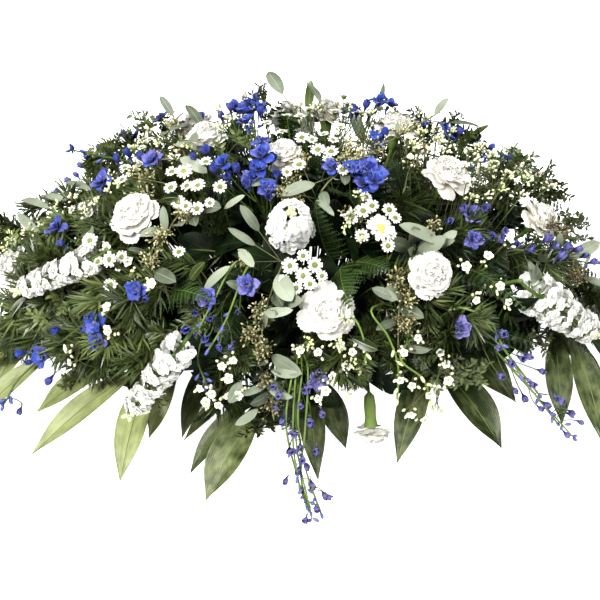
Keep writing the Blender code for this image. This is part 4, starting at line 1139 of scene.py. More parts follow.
def add_cup(growth, middle, axis, size, profile, sides, tone):
    """The green cup under a flower, from pairs of height and radius in flower radii."""
    line = rows_of(middle + axis * size * height for height, _ in profile)
    radii = size * np.array([radius for _, radius in profile])
    growth.add(tubes(line, radii, sides), "Green stem", tone, closed=True)


class Nodes:
    """Adds nodes to a tree and links their sockets."""

    def __init__(self, tree):
        self.tree = tree

    def add(self, kind, sockets=None, **settings):
        """A new node with its settings, and values or links for its inputs."""
        node = self.tree.nodes.new(kind)
        for key, value in settings.items():
            setattr(node, key, value)
        for key, value in (sockets or {}).items():
            if isinstance(value, bpy.types.NodeSocket):
                self.tree.links.new(value, node.inputs[key])
            else:
                node.inputs[key].default_value = value
        return node

    def math(self, operation, *values, clamp=False):
        """The result of a sum of one to three values."""
        node = self.add("ShaderNodeMath", dict(enumerate(values)), operation=operation, use_clamp=clamp)
        return node.outputs[0]

    def vary(self, tone, noise, strength, clamp=False):
        """A tone that noise moves up and down."""
        return self.math("MULTIPLY_ADD", self.math("SUBTRACT", noise, 0.5), strength, tone, clamp=clamp)

    def fade(self, value, low, high):
        """A soft step from 0 at low to 1 at high."""
        sockets = {"Value": value, "From Min": low, "From Max": high}
        return self.add("ShaderNodeMapRange", sockets, interpolation_type="SMOOTHSTEP").outputs[0]

    def mix(self, share, first, second):
        """A colour between two."""
        return self.add("ShaderNodeMix", {0: share, 6: first, 7: second}, data_type="RGBA").outputs[2]

    def noise(self, vector, scale, detail=2.0):
        """Noise of a scale, between 0 and 1."""
        sockets = {"Vector": vector, "Scale": scale, "Detail": detail}
        return self.add("ShaderNodeTexNoise", sockets).outputs["Fac"]


def surface_group(name, inputs, fill):
    """A node group that gives a colour and a height for a bump from the named inputs."""
    tree = bpy.data.node_groups.get(name)
    if tree:
        return tree
    tree = bpy.data.node_groups.new(name, "ShaderNodeTree")
    for label, value in inputs.items():
        kind = "NodeSocketFloat" if isinstance(value, float) else "NodeSocketColor"
        socket = tree.interface.new_socket(name=label, in_out="INPUT", socket_type=kind)
        socket.default_value = value
    tree.interface.new_socket(name="Colour", in_out="OUTPUT", socket_type="NodeSocketColor")
    tree.interface.new_socket(name="Height", in_out="OUTPUT", socket_type="NodeSocketFloat")
    nodes = Nodes(tree)
    given = nodes.add("NodeGroupInput").outputs
    place = nodes.add("ShaderNodeAttribute", attribute_name="place").outputs["Vector"]
    where = nodes.add("ShaderNodeSeparateXYZ", {0: place}).outputs
    spot = nodes.add("ShaderNodeTexCoord").outputs["Object"]
    colour, height = fill(nodes, given, where, spot)
    nodes.add("NodeGroupOutput", {"Colour": colour, "Height": height})
    return tree


def leaf_surface():
    """Leaves: two greens mixed by tone and blotches, with a midrib and side or parallel veins. Crinkles bump
    the surface and lighten and darken its tone along them, partly mottling and partly painted highlights and
    shade on the glossy folds.
    """

    def fill(nodes, given, where, spot):
        aside = nodes.math("ABSOLUTE", where["X"])
        blotch = nodes.noise(spot, 38.0)
        grain = nodes.noise(spot, 900.0)
        narrowed = nodes.math("MULTIPLY", where["X"], 0.35)
        fold = nodes.add("ShaderNodeCombineXYZ", {0: narrowed, 1: where["Y"], 2: where["Z"]})
        crinkle_and_sheen = nodes.noise(fold.outputs[0], 9.0, 3.0)
        tone = nodes.vary(where["Z"], blotch, 0.9)
        # Partly mottling, partly painted highlight and shade: the tone follows the crinkles' bumps
        tone = nodes.vary(tone, crinkle_and_sheen, given["Crinkle And Sheen"])
        share = nodes.math("MULTIPLY_ADD", grain, 0.1, tone, clamp=True)
        body = nodes.mix(share, given["Deep"], given["Light"])
        phase = nodes.math("MULTIPLY", aside, given["Veins Across"])
        phase = nodes.math("MULTIPLY_ADD", where["Y"], given["Veins Along"], phase)
        wave = nodes.math("SINE", nodes.math("MULTIPLY", phase, math.tau))
        line = nodes.fade(wave, 0.55, 1.0)
        rib = nodes.math("SUBTRACT", 1.0, nodes.fade(aside, 0.02, given["Rib Width"]))
        veins = nodes.math("MAXIMUM", rib, nodes.math("MULTIPLY", line, given["Vein Strength"]))
        edge = nodes.math("MULTIPLY", nodes.fade(aside, 0.8, 1.0), 0.3)
        colour = nodes.mix(nodes.math("MAXIMUM", veins, edge), body, given["Vein"])
        height = nodes.math("MULTIPLY_ADD", wave, given["Vein Strength"], nodes.math("MULTIPLY", grain, 0.4))
        height = nodes.math("MULTIPLY_ADD", crinkle_and_sheen, nodes.math("MULTIPLY", given["Crinkle And Sheen"], 3.0), height)
        return colour, nodes.math("SUBTRACT", height, rib)

    inputs = {
        "Deep": (0, 0.1, 0, 1),
        "Light": (0, 0.3, 0, 1),
        "Vein": (0.3, 0.4, 0.1, 1),
        "Veins Across": 0.0,
        "Veins Along": 0.0,
        "Vein Strength": 0.3,
        "Rib Width": 0.12,
        "Crinkle And Sheen": 0.0,
    }
    return surface_group("Leaf surface", inputs, fill)


def petal_surface():
    """Petals: two colours mixed by tone, fine streaks from base to rim, and a throat colour at the base,
    which on the delphiniums is painted shade.
    """

    def fill(nodes, given, where, spot):
        shortened = nodes.math("MULTIPLY", where["Y"], 0.12)
        stretch = nodes.add("ShaderNodeCombineXYZ", {0: where["X"], 1: shortened})
        stretched = nodes.add("ShaderNodeVectorMath", {0: stretch.outputs[0], 1: spot}, operation="ADD")
        streak = nodes.noise(stretched.outputs[0], given["Streaks"])
        blotch = nodes.noise(spot, 70.0)
        tone = nodes.vary(where["Z"], streak, given["Streak Strength"])
        tone = nodes.vary(tone, blotch, 0.5, clamp=True)
        body = nodes.mix(tone, given["Deep"], given["Light"])
        throat = nodes.math("SUBTRACT", 1.0, nodes.fade(where["Y"], 0.0, given["Throat Reach"]))
        return nodes.mix(throat, body, given["Throat"]), streak

    inputs = {
        "Deep": (0.8, 0.8, 0.8, 1),
        "Light": (1, 1, 1, 1),
        "Throat": (0.7, 0.8, 0.4, 1),
        "Throat Reach": 0.3,
        "Streaks": 9.0,
        "Streak Strength": 0.4,
    }
    return surface_group("Petal surface", inputs, fill)


def grain_surface():
    """Seeds, hearts, stems, foam and plastic: a mottled body with specks."""

    def fill(nodes, given, where, spot):
        blotch = nodes.noise(spot, nodes.math("MULTIPLY", given["Grain"], 0.2))
        speck = nodes.noise(spot, given["Grain"])
        tone = nodes.vary(where["Z"], blotch, 0.9, clamp=True)
        body = nodes.mix(tone, given["Deep"], given["Light"])
        dots = nodes.math("MULTIPLY", nodes.fade(speck, 0.58, 0.72), given["Speck Strength"])
        return nodes.mix(dots, body, given["Speck"]), speck

    inputs = {
        "Deep": (0.1, 0.1, 0, 1),
        "Light": (0.4, 0.4, 0.1, 1),
        "Speck": (0.5, 0.5, 0.3, 1),
        "Speck Strength": 0.4,
        "Grain": 500.0,
    }
    return surface_group("Grain surface", inputs, fill)


SURFACES = {"leaf": leaf_surface, "petal": petal_surface, "grain": grain_surface}


def colour_of(settings, name):
    """A colour from the settings, with full alpha."""
    return (*getattr(settings, name), 1.0)


def finish_named(name):
    """The material of a finish, made when it is first asked for."""
    material = bpy.data.materials.get(name)
    if material:
        return material
    kind, owner, colours, numbers, shader, bump = FINISHES[name]
    settings = getattr(bpy.context.scene, owner)
    material = bpy.data.materials.new(name)
    material.use_nodes = True
    tree = material.node_tree
    tree.nodes.clear()
    nodes = Nodes(tree)
    surface = nodes.add("ShaderNodeGroup", node_tree=SURFACES[kind]())
    for label, colour in colours.items():
        surface.inputs[label].default_value = colour_of(settings, colour)
    for label, number in numbers.items():
        surface.inputs[label].default_value = number
    sockets = {"Height": surface.outputs["Height"], "Strength": bump[0], "Distance": bump[1]}
    normal = nodes.add("ShaderNodeBump", sockets).outputs["Normal"]
    shader = dict(shader)
    shader["Base Color"] = surface.outputs["Colour"]
    shader["Normal"] = normal
    body = nodes.add("ShaderNodeBsdfPrincipled", shader)
    nodes.add("ShaderNodeOutputMaterial", {"Surface": body.outputs[0]})
    return material


# Petal outlines: each row's width as a share, from the base to the rim
FAN = [0.14, 0.36, 0.66, 0.90, 1.02, 1.03, 0.94]
SPOON = [0.2, 0.6, 0.9, 1.0, 0.97, 0.78, 0.36]
STRAP = [0.5, 0.85, 1.0, 1.0, 0.7]
LOBE = [0.25, 0.7, 1.0, 0.98, 0.7]
OVAL = [0.06, 0.5, 0.76, 0.92, 0.99, 1.0, 0.97, 0.9, 0.77, 0.54, 0.06]
POINTED = [0.05, 0.6, 0.95, 0.97, 0.75, 0.42, 0.03]
LANCE = [0.10, 0.30, 0.50, 0.68, 0.82, 0.93, 0.99, 1.0, 0.96, 0.87, 0.71, 0.49, 0.24, 0.02]
SMALL_LEAF = [0.1, 1.0, 0.85, 0.08]
NEEDLE = [0.5, 1.0, 0.1]
PINNULE = [0.5, 1.0, 0.1]

# Rings of petals: count, lean and bend in degrees, length, width and start height in flower radii,
# outline, columns and form
RUFFLE = {"rim": 0.14, "tooth": 0.022, "wave": 0.05, "waves": 1.6, "loose": 10, "roll": 14}
FRILL = {"rim": 0.10, "tooth": 0.03, "wave": 0.085, "waves": 1.9, "loose": 14, "roll": 34}
CARNATION_RINGS = [
    (6, 78, 22, 1.26, 0.96, -0.42, FAN, 13, RUFFLE),
    (6, 62, 26, 1.14, 0.98, -0.36, FAN, 13, RUFFLE),
    (6, 46, 22, 1.04, 0.92, -0.32, FAN, 13, RUFFLE),
    (6, 33, 18, 0.96, 0.84, -0.28, FAN, 11, FRILL),
    (5, 22, 16, 0.93, 0.78, -0.26, FAN, 11, FRILL),
    (5, 13, 14, 0.90, 0.70, -0.24, FAN, 11, FRILL),
    (4, 6, 12, 0.88, 0.60, -0.24, FAN, 11, FRILL),
]
CARNATION_CORE = 0.6
SOFT = {"rim": 0.12, "wave": 0.06, "waves": 1.6, "cup": -0.1, "loose": 9}
STOCK_RINGS = [
    (5, 76, 16, 1.08, 1.06, 0.0, LOBE, 5, SOFT),
    (4, 56, 18, 0.88, 0.96, 0.0, LOBE, 5, SOFT),
    (3, 34, 10, 0.62, 0.76, 0.0, LOBE, 3, SOFT),
]
CRUMPLED = {"cup": 0.28, "wave": 0.18, "waves": 2.2, "rim": 0.08, "loose": 24, "mottle": 0.3}
DELPHINIUM_OPEN = [
    (5, 58, 22, 1.06, 0.92, -0.22, SPOON, 7, CRUMPLED),
    (4, 32, 6, 0.78, 0.66, -0.2, SPOON, 5, CRUMPLED),
]
HALF_OPEN = {"cup": 0.35, "wave": 0.06, "waves": 1.0, "loose": 12}
DELPHINIUM_HALF = [(5, 30, -30, 1.2, 0.86, -0.4, SPOON, 5, HALF_OPEN)]
DELPHINIUM_BEE = [(3, 24, 30, 0.30, 0.18, -0.2, SPOON, 3, {"cup": 0.2})]
NARROW_RAY = {"cup": 0.2, "loose": 8}
DAISY_RINGS = [
    (12, 76, 10, 0.98, 0.34, 0.0, STRAP, 3, NARROW_RAY),
    (9, 60, 22, 0.84, 0.30, 0.02, STRAP, 3, NARROW_RAY),
]
WAX_RINGS = [(5, 62, 14, 1.0, 0.86, -0.1, LOBE, 5, {"cup": 0.25, "rim": 0.1})]

# The green cups under the flowers: pairs of height and radius in flower radii
CARNATION_CUP = ((-1.16, 0.09), (-1.0, 0.2), (-0.75, 0.24), (-0.5, 0.27), (-0.38, 0.34))
DAISY_CUP = ((-0.32, 0.1), (-0.2, 0.26), (-0.03, 0.34))
WAX_CUP = ((-0.75, 0.1), (-0.4, 0.3), (-0.05, 0.36))

# The cup of the lowest carnation: shares of the way from its neck to its middle, and the radii
LOW_CUP_SHARES = (0.0, 0.12, 0.4, 0.75, 1.0)
LOW_CUP_RADII = (0.08, 0.3, 0.36, 0.33, 0.42)

# How royal a blue each delphinium is, from light violet at 0
DELPHINIUM_TONES = {
    "delphinium_top": 0.9,
    "delphinium_left": 0.75,
    "delphinium_left_low": 0.75,
    "delphinium_centre_low": 0.5,
    "delphinium_trail": 0.0,
    "delphinium_right_trail": 0.12,
    "delphinium_right": 0.3,
    "delphinium_top_right": 0.9,
    "delphinium_back_right": 0.8,
    "delphinium_back_left": 0.6,
}


def petals(growth, finish, centre, axis, size, rings, draw, tone):
    """All the petal rings of a flower."""
    for ring in rings:
        ring_of_petals(growth, finish, centre, axis, size, ring, draw, tone)


def turned_to(axis, turn):
    """Rotation that takes +Z to an axis, after a turn about it."""
    return axis.to_track_quat("Z", "Y").to_matrix() @ Matrix.Rotation(turn, 3, "Z")


def flank(axis, turn):
    """The direction square to an axis, at a turn round it."""
    return turned_to(axis, turn) @ Vector((1, 0, 0))


def grow_carnation(name, pixel, width, side):
    """A carnation: rings of ruffled, toothed petals over a green calyx."""
    centre = on_mound(pixel, side, CARNATION_RISE)
    axis = outward(centre)
    size = CARNATION_RADIUS * width / CARNATION_WIDTH
    places = [centre - axis * size * 1.6, centre - axis * size * 1.15]
    stem = Stem(name, lambda _: places, CARNATION_STEM, 3)
    draw = draw_from(name)
    growth = Growth()
    add_stem(growth, stem, "Green stem", 0.4)
    add_cup(growth, centre, axis, size, CARNATION_CUP, 10, 0.6)
    petals(growth, "Carnation petal", centre, axis, size * CARNATION_SPREAD, CARNATION_RINGS, draw, 0.75)
    core = size * CARNATION_CORE
    growth.add(domes(centre, axis, core, core * 0.8, 6, 12, 0.3), "Carnation petal", 0.9, closed=True)
    growth.build(name, "carnation_petals", name)


def grow_single_leaves():
    """Leaves that stand alone in front, on thin stems from the foam, and low palm leaves beside them."""
    growth = Growth()
    draw = draw_from("single leaves")
    rows = [(finish, *leaf) for finish, leaves in SINGLE_LEAVES for leaf in leaves]
    for finish, base, tip, width, tone in rows:
        base, tip = on_mound(base, FRONT, 0.97), on_mound(tip, FRONT, 1.02)
        face = (outward(tip) + Vector(draw.uniform(-0.3, 0.3, 3))).normalized()
        broad_blade(growth, base, tip, face, width * METRES_PER_PIXEL, finish, tone, 0.06, 0.12, OVAL, 7)
        foam_stem(growth, base)
    growth.build("single_leaves", "eucalyptus_leaves")
    growth = Growth()
    for base, tip, width, tone in LOW_LEAVES:
        base, tip = on_level(base, FRONT, PALM_RIB_HEIGHT * 0.9), on_level(tip, FRONT, PALM_TIP_HEIGHT)
        face = Vector((draw.uniform(-0.2, 0.2), draw.uniform(-0.2, 0.2), 1))
        add_palm_leaf(growth, base, tip, face, width * METRES_PER_PIXEL, tone, draw)
        foam_stem(growth, base)
    growth.build("low_leaves", "palm_leaves")


def grow_low_carnation():
    """The carnation that hangs head down at the front edge, on a stem from the foam."""
    start = on_mound(LOW_CARNATION[0], FRONT, 0.8)
    neck, centre = (on_level(pixel, FRONT, height) for pixel, height in LOW_CARNATION[1:])
    axis = (centre - neck).normalized()
    size = LOW_CARNATION_SIZE
    draw = draw_from("low carnation")
    growth = Growth()
    foam_stem(growth, start)
    add_stalk(growth, start, neck, axis, "Green stem", 0.8, LOW_CARNATION_STALK, 6)
    cup = rows_of(neck.lerp(centre, share) for share in LOW_CUP_SHARES)
    growth.add(tubes(cup, size * np.array(LOW_CUP_RADII), 10), "Green stem", 1.0, closed=True)
    petals(growth, "Carnation petal", centre + axis * size * 0.4, axis, size, CARNATION_RINGS[1:5], draw, 0.9)
    growth.build("low_carnation", "carnation_petals")


def stock_floret(growth, root, centre, axis, size, draw):
    """A stock floret: layers of rounded petals round a yellow-green heart."""
    add_stalk(growth, root, centre - axis * size * 0.3, axis, "Green stem", 0.6, STOCK_STALK)
    petals(growth, "Stock petal", centre, axis, size, STOCK_RINGS, draw, 0.75)
    growth.add(domes(centre, axis, 0.5 * size, 0.4 * size, 4, 8, 0.4), "Stock petal", 0.9, closed=True)
    heart = centre + axis * size * 0.3
    growth.add(domes(heart, axis, 0.16 * size, 0.16 * size, 4, 7), "Flower heart", 0.8, closed=True)


def grow_stock(name, start, start_rise, end, end_rise, width, florets, side):
    """Stock: a dense spike of double florets, with green buds at its end."""
    first = on_mound(start, side, start_rise)
    last = on_mound(end, side, end_rise)
    axis = (last - first).normalized()
    reach = width / 2 * METRES_PER_PIXEL
    size = STOCK_FLORET
    stem = Stem(name, lambda _: [first - axis * 0.02, first, last], STOCK_STEM, 5)
    draw = draw_from(name)
    growth = Growth()
    add_stem(growth, stem, "Green stem", 0.5)

    def floret(t, angle):
        aim = flank(axis, angle)
        root = first.lerp(last, t * 0.94)
        out = (aim + axis * (0.25 + 0.6 * t)).normalized()
        return root, root + out * (reach - size * 0.6) * (1 - 0.35 * t), out

    for k in range(florets):
        ways = [floret((k + 0.5) / florets, GOLDEN_ANGLE * k + twist) for twist in (0, 0.4, -0.4, 0.8, -0.8)]
        spots = [centre + out * 0.1 * size for _, centre, out in ways]
        spot, _ = stem.settle(spots)
        root, centre, out = ways[spots.index(spot)]
        stock_floret(growth, root, centre, out, size * draw.uniform(0.8, 0.95), draw)
        for turn in (1.5, 3.0, 4.6):
            root, centre, out = floret(min((k + 0.3 * turn) / florets, 1), GOLDEN_ANGLE * k + turn)
            stock_floret(growth, root, centre, out, size * draw.uniform(0.7, 0.9), draw)
    for k in range(7):
        aim = (flank(axis, GOLDEN_ANGLE * k) + axis * 1.4).normalized()
        spot = last + axis * 0.002 * k + aim * 0.006
        add_bud(growth, spot, aim, STOCK_BUD, "Flower bud", 0.5)
    growth.build(name, "stock_petals", name)


def stem_path(path, side, rise):
    """Places of a branching stem for a lift, deeper at its start."""
    depths = [START_DEPTH * (1 - k / len(path)) for k in range(len(path))]
    return lambda lift: [on_mound(p, side, rise + lift - depth) for p, depth in zip(path, depths)]


def heads_of(stem, heads, side, top):
    """Each head's middle, axis and radius, as its solid has them. top is its middle's height in radii."""
    for pixel, width in heads:
        size = width / 2 * METRES_PER_PIXEL
        spots = nudged(pixel, side, NUDGES)
        middle, point = stem.settle(spots, abs(top) * size)
        yield middle, ((point - middle) * math.copysign(1, top)).normalized(), size


def loose_heads(stem, heads, side, draw):
    """Heads that no solid has: they lean between outward and away from the stem."""
    for pixel, width in heads:
        middle = on_mound(pixel, side, draw.uniform(*LOOSE_RISES))
        away = (middle - stem.branch(middle)).normalized()
        chance = Vector(draw.uniform(-0.25, 0.25, 3))
        yield middle, (outward(middle) + away * 0.4 + chance).normalized(), width / 2 * METRES_PER_PIXEL


def delphinium_floret(growth, start, middle, axis, size, draw, tone):
    """A delphinium floret: five cupped sepals, a pale bee and a spur. Small ones are half open."""
    add_stalk(growth, start, middle - axis * size * 0.4, axis, "Green stem", 0.6, FLORET_STALK)
    small = size < SMALL_FLORET / 2 * METRES_PER_PIXEL
    rings = DELPHINIUM_HALF if small else DELPHINIUM_OPEN
    petals(growth, "Delphinium petal", middle, axis, size, rings, draw, tone)
    if not small:
        petals(growth, "Delphinium bee", middle, axis, size, DELPHINIUM_BEE, draw, 0.3)
    out = flank(axis, draw.uniform(0, math.tau))
    back = middle - axis * size * 0.3
    end = middle - axis * size * 1.1 + out * size * 0.45
    line = curved(back, middle - axis * size * 0.9, end, 6)
    radii = size * np.array([0.2, 0.15, 0.11, 0.08, 0.06, 0.02])
    growth.add(tubes(line, radii, 6), "Delphinium petal", tone, closed=True)


def grow_delphinium(name, path, heads, side):
    """Delphinium: a lax spike of florets in blue to violet, with buds at its end."""
    stem = Stem(name, stem_path(path, side, DELPHINIUM_RISE), DELPHINIUM_STEM, 2 + len(path))
    draw = draw_from(name)
    growth = Growth()
    tone = DELPHINIUM_TONES[name]
    add_stem(growth, stem, "Green stem", 1 - tone, share=1.1)
    add_extra_stems(growth, name, stem, side, "Violet bud")
    own = heads_of(stem, heads, side, DELPHINIUM_TOP)
    more = loose_heads(stem, EXTRA_DELPHINIUMS.get(name, ()), side, draw)
    for middle, axis, size in itertools.chain(own, more):
        start = stem.branch(middle)
        delphinium_floret(growth, start, middle, axis, size, draw, tone + draw.uniform(-0.15, 0.15))
    ahead = (stem.fine[-1] - stem.fine[-3]).normalized()
    for k in range(6):
        aim = (flank(ahead, GOLDEN_ANGLE * k) + ahead * 0.8).normalized()
        start = stem.fine[-1 - k // 2]
        spot = start + aim * (0.006 + 0.001 * k)
        add_stalk(growth, start, spot, aim, "Green stem", 0.7, BUD_STALK, 3)
        add_bud(growth, spot, aim, DELPHINIUM_BUD, "Violet bud", tone)
    growth.build(name, "delphinium_petals", name)


def daisy_head(growth, start, middle, axis, size, draw):
    """A daisy: two rings of narrow rays round a domed heart. The small ones have darker hearts."""
    add_stalk(growth, start, middle - axis * size * 0.3, axis, "Green stem", 0.5, DAISY_STALK)
    add_cup(growth, middle, axis, size, DAISY_CUP, 8, 0.4)
    size *= 0.82
    petals(growth, "Daisy ray", middle, axis, size, DAISY_RINGS[: 2 if size > 0.011 else 1], draw, 0.8)
    heart = middle + axis * size * 0.02
    ripe = np.clip((size / METRES_PER_PIXEL - 7.5) / 3 + draw.uniform(-0.2, 0.2), 0, 1)
    growth.add(domes(heart, axis, 0.42 * size, 0.24 * size, 5, 10), "Daisy heart", ripe, closed=True)


def add_buds(growth, name, stem, side, draw):
    """Clusters of pale buds, each on a stalk from the plant's own stem."""
    for pixel in EXTRA_BUDS.get(name, ()):
        middle = on_mound(pixel, side, draw.uniform(0.98, 1.02))
        start = stem.branch(middle)
        out = np.array(outward(middle))
        add_stalk(growth, start, middle, (middle - start).normalized(), "Green stem", 0.4, DAISY_STALK)
        aims = unit(out + draw.normal(0, 0.8, (BUDS_TOGETHER, 3)))
        ends = np.array(middle) + aims * 0.011 * draw.uniform(0.5, 1.2, (BUDS_TOGETHER, 1))
        stalks = curved(np.array(middle), (np.array(middle) + ends) / 2 + out * 0.001, ends, 3)
        growth.add(tubes(stalks, 0.0003, 3), "Green stem", 0.9, closed=True)
        size = 0.0017 * draw.uniform(0.7, 1.3, BUDS_TOGETHER)
        buds = domes(ends, aims, size, size * 1.5, 4, 5, 0.42)
        growth.add(buds, "Flower bud", draw.uniform(0.3, 1), closed=True)


def grow_daisies(name, path, heads, side):
    """A spray of small daisies on thin stalks."""
    stem = Stem(name, stem_path(path, side, CLUSTER_RISE), DAISY_STEM, 2 + len(path))
    draw = draw_from(name)
    growth = Growth()
    add_stem(growth, stem, "Green stem", 0.5)
    own = heads_of(stem, heads, side, DAISY_TOP)
    more = loose_heads(stem, EXTRA_DAISIES.get(name, ()), side, draw)
    for middle, axis, size in [*own, *more]:
        daisy_head(growth, stem.branch(middle), middle, axis, size, draw)
    add_buds(growth, name, stem, side, draw)
    growth.build(name, "daisy_petals", name)


def wax_head(growth, start, middle, axis, size, draw):
    """A wax flower: five round petals, a small cup, and buds beside it."""
    size *= 0.76
    add_stalk(growth, start, middle - axis * size * 0.5, axis, "Twig bark", 0.6, WAX_STALK)
    add_cup(growth, middle, axis, size, WAX_CUP, 7, 0.7)
    petals(growth, "Wax petal", middle, axis, size, WAX_RINGS, draw, 0.8)
    growth.add(domes(middle, axis, 0.3 * size, 0.2 * size, 4, 7), "Flower heart", 0.5, closed=True)
    for _ in range(3):
        out = flank(axis, draw.uniform(0, math.tau))
        aim = (out + axis).normalized()
        spot = middle + out * size * draw.uniform(1.0, 1.7) - axis * size * draw.uniform(0.2, 0.9)
        add_stalk(growth, start.lerp(middle, 0.4), spot, aim, "Twig bark", 0.7, BUD_STALK, 3)
        add_bud(growth, spot, aim, WAX_BUD, "Flower bud", 0.6)


def grow_wax(name, path, heads, side):
    """Wax flowers: loose clusters of small heads and buds, with needle leaves along the stem."""
    stem = Stem(name, stem_path(path, side, CLUSTER_RISE), DAISY_STEM, 2 + len(path))
    draw = draw_from(name)
    growth = Growth()
    add_stem(growth, stem, "Green stem", 0.8)
    add_extra_stems(growth, name, stem, side, "Flower bud")
    own = heads_of(stem, heads, side, WAX_TOP)
    more = loose_heads(stem, EXTRA_WAX.get(name, ()), side, draw)
    for middle, axis, size in [*own, *more]:
        wax_head(growth, stem.branch(middle), middle, axis, size, draw)
    add_buds(growth, name, stem, side, draw)
    line = rows_of(stem.fine[8:])[None]
    face = rows_of([outward(stem.fine[-1])])
    base, along, up, _ = shoots(line, face, 14, 0.05, 0.8, 0.0, draw, 0.5)
    growth.add(blades(base, along, up, 0.013, 0.0018, NEEDLE, 3, arch=0.5), "Small leaf", 0.7)
    growth.build(name, "wax_flower_petals", name)


def shoots(lines, faces, pairs, bare, slant, droop, draw, loose=0.08):
    """Where pairs of side shoots leave N lines: bases, directions, faces and shares along the line."""
    lines = np.asarray(lines, float)
    shares = np.linspace(bare, LAST_BRANCH, pairs)
    place = shares * (lines.shape[1] - 1)
    i = np.minimum(place.astype(int), lines.shape[1] - 2)
    part = (place - i)[None, :, None]
    base = lines[:, i] * (1 - part) + lines[:, i + 1] * part
    ahead = unit(lines[:, i + 1] - lines[:, i])
    side = unit(np.cross(ahead, np.asarray(faces, float)[:, None]))
    up = np.cross(side, ahead)
    ways = []
    for hand in (1, -1):
        way = side * hand * math.cos(slant) + ahead * math.sin(slant) - up * droop
        ways.append(unit(way + draw.normal(0, loose, way.shape)))
    base = np.stack([base, base], axis=2).reshape(-1, 3)
    along = np.stack(ways, axis=2).reshape(-1, 3)
    up = np.stack([up, up], axis=2).reshape(-1, 3)
    shares = np.broadcast_to(shares[None, :, None], (len(lines), pairs, 2)).reshape(-1)
    return base, along, up, shares


def straight(base, along, length, sag, face, rows=5):
    """N short ribs as lines, sagging away from their faces."""
    t = np.linspace(0, 1, rows)[None, :, None]
    length = np.asarray(length, float)[:, None, None]
    return base[:, None] + along[:, None] * t * length - face[:, None] * (t**2) * length * sag


def add_rib(growth, base, tip, face, bow, rows, radii, finish, tone):
    """The rib of a frond or twig, bowed towards its face by a share of its length. Returns its line."""
    reach = (tip - base).length
    rib = curved(base, base.lerp(tip, 0.5) + face * reach * bow, tip, rows)
    growth.add(tubes(rib, np.linspace(*radii, rows), 4), finish, tone, closed=True)
    return rib


def fern_frond(growth, base, tip, face, longest, draw, tone):
    """A leatherleaf frond: a rib, side ribs and small leaves on each."""
    rib = add_rib(growth, base, tip, face, 0.20, 14, (0.0013, 0.0004), "Fern rib", tone)
    face = rows_of([face])
    spots, ways, ups, shares = shoots(rib, face, FROND_PAIRS, FROND_BARE, 0.42, 0.12, draw, 0.06)
    grown = (shares - FROND_BARE) / (LAST_BRANCH - FROND_BARE)
    length = longest * (1 - grown) ** 0.75 * (0.62 + 0.38 * np.sin(np.minimum(grown * 5, math.pi / 2)))
    length = np.maximum(length, 0.004) * draw.uniform(0.9, 1.1, len(length))
    ribs = straight(spots, ways, length, 0.22, ups, 4)
    growth.add(tubes(ribs, np.linspace(0.0005, 0.0002, 4), 3), "Fern rib", tone, closed=True)
    feet, aims, faces, shares = shoots(ribs, ups, PINNULE_PAIRS, 0.08, 0.5, 0.05, draw, 0.1)
    owner = np.repeat(length, PINNULE_PAIRS * 2)
    size = owner * 0.30 * (1.05 - shares) + 0.0016
    tones = np.clip(tone + draw.normal(0, 0.1, len(size)), 0, 1)
    growth.add(blades(feet, aims, faces, size, size * 0.56, PINNULE, 2, arch=0.5), "Fern leaf", tones)


def leafy_twig(growth, base, tip, face, longest, draw, tone):
    """A twig with side twigs that carry pairs of small leaves."""
    rib = add_rib(growth, base, tip, face, 0.16, 10, (0.0012, 0.0005), "Twig bark", tone)
    turn = unit(rows_of([face]) + draw.normal(0, 0.4, (1, 3)))
    spots, ways, ups, shares = shoots(rib, turn, 6, 0.3, 0.85, -0.1, draw, 0.3)
    length = longest * (1.1 - 0.6 * shares) * draw.uniform(0.7, 1.2, len(shares))
    twigs = straight(spots, ways, length, 0.1, ups)
    growth.add(tubes(twigs, np.linspace(0.0006, 0.0003, 5), 3), "Twig bark", tone, closed=True)
    for line, up, pairs in ((twigs, ups, 5), (rib, turn, 9)):
        feet, aims, faces, _ = shoots(line, up, pairs, 0.12, 0.7, -0.15, draw, 0.3)
        size = SMALL_LEAF_LENGTH * draw.uniform(0.7, 1.25, len(feet))
        tones = uneven(tone, draw, len(size))
        leaves = blades(feet, aims, faces, size, size * 0.42, SMALL_LEAF, 3, arch=0.5, cup=0.2)
        growth.add(leaves, "Small leaf", tones)


def uneven(tone, draw, count):
    """Tones of a sprig's leaves: most near its own tone and a few much lighter, which are painted highlights
    standing in for lit leaves.
    """
    return np.clip(tone - 0.1 + draw.exponential(0.3, count) * (0.4 + tone), 0, 1.3)


def needle_twig(growth, base, tip, face, longest, draw, tone, width, slant, pairs):
    """A twig close set with narrow leaves all round, on a few side twigs."""
    rib = add_rib(growth, base, tip, face, 0.14, 12, (0.0013, 0.0005), "Twig bark", tone)
    face = rows_of([face])
    spots, ways, ups, shares = shoots(rib, face, 3, 0.3, 0.95, -0.05, draw, 0.2)
    twigs = straight(spots, ways, min(longest * 1.6, 0.05) * (1.1 - 0.6 * shares), 0.1, ups, 12)
    growth.add(tubes(twigs, np.linspace(0.0008, 0.0003, 12), 3), "Twig bark", tone, closed=True)
    lines = np.concatenate([rib, twigs])
    faces = np.concatenate([face, ups])
    for turn in (0.0, 1.0):
        other = unit(faces + turn * np.cross(faces, unit(lines[:, -1] - lines[:, 0])))
        feet, aims, ups, shares = shoots(lines, other, pairs, 0.06, slant, -0.2, draw, 0.24)
        size = longest * 0.9 * (1.1 - 0.5 * shares) * draw.uniform(0.8, 1.15, len(feet))
        tones = uneven(tone, draw, len(size))
        growth.add(blades(feet, aims, ups, size, width, NEEDLE, 2, arch=0.4), "Needle leaf", tones)


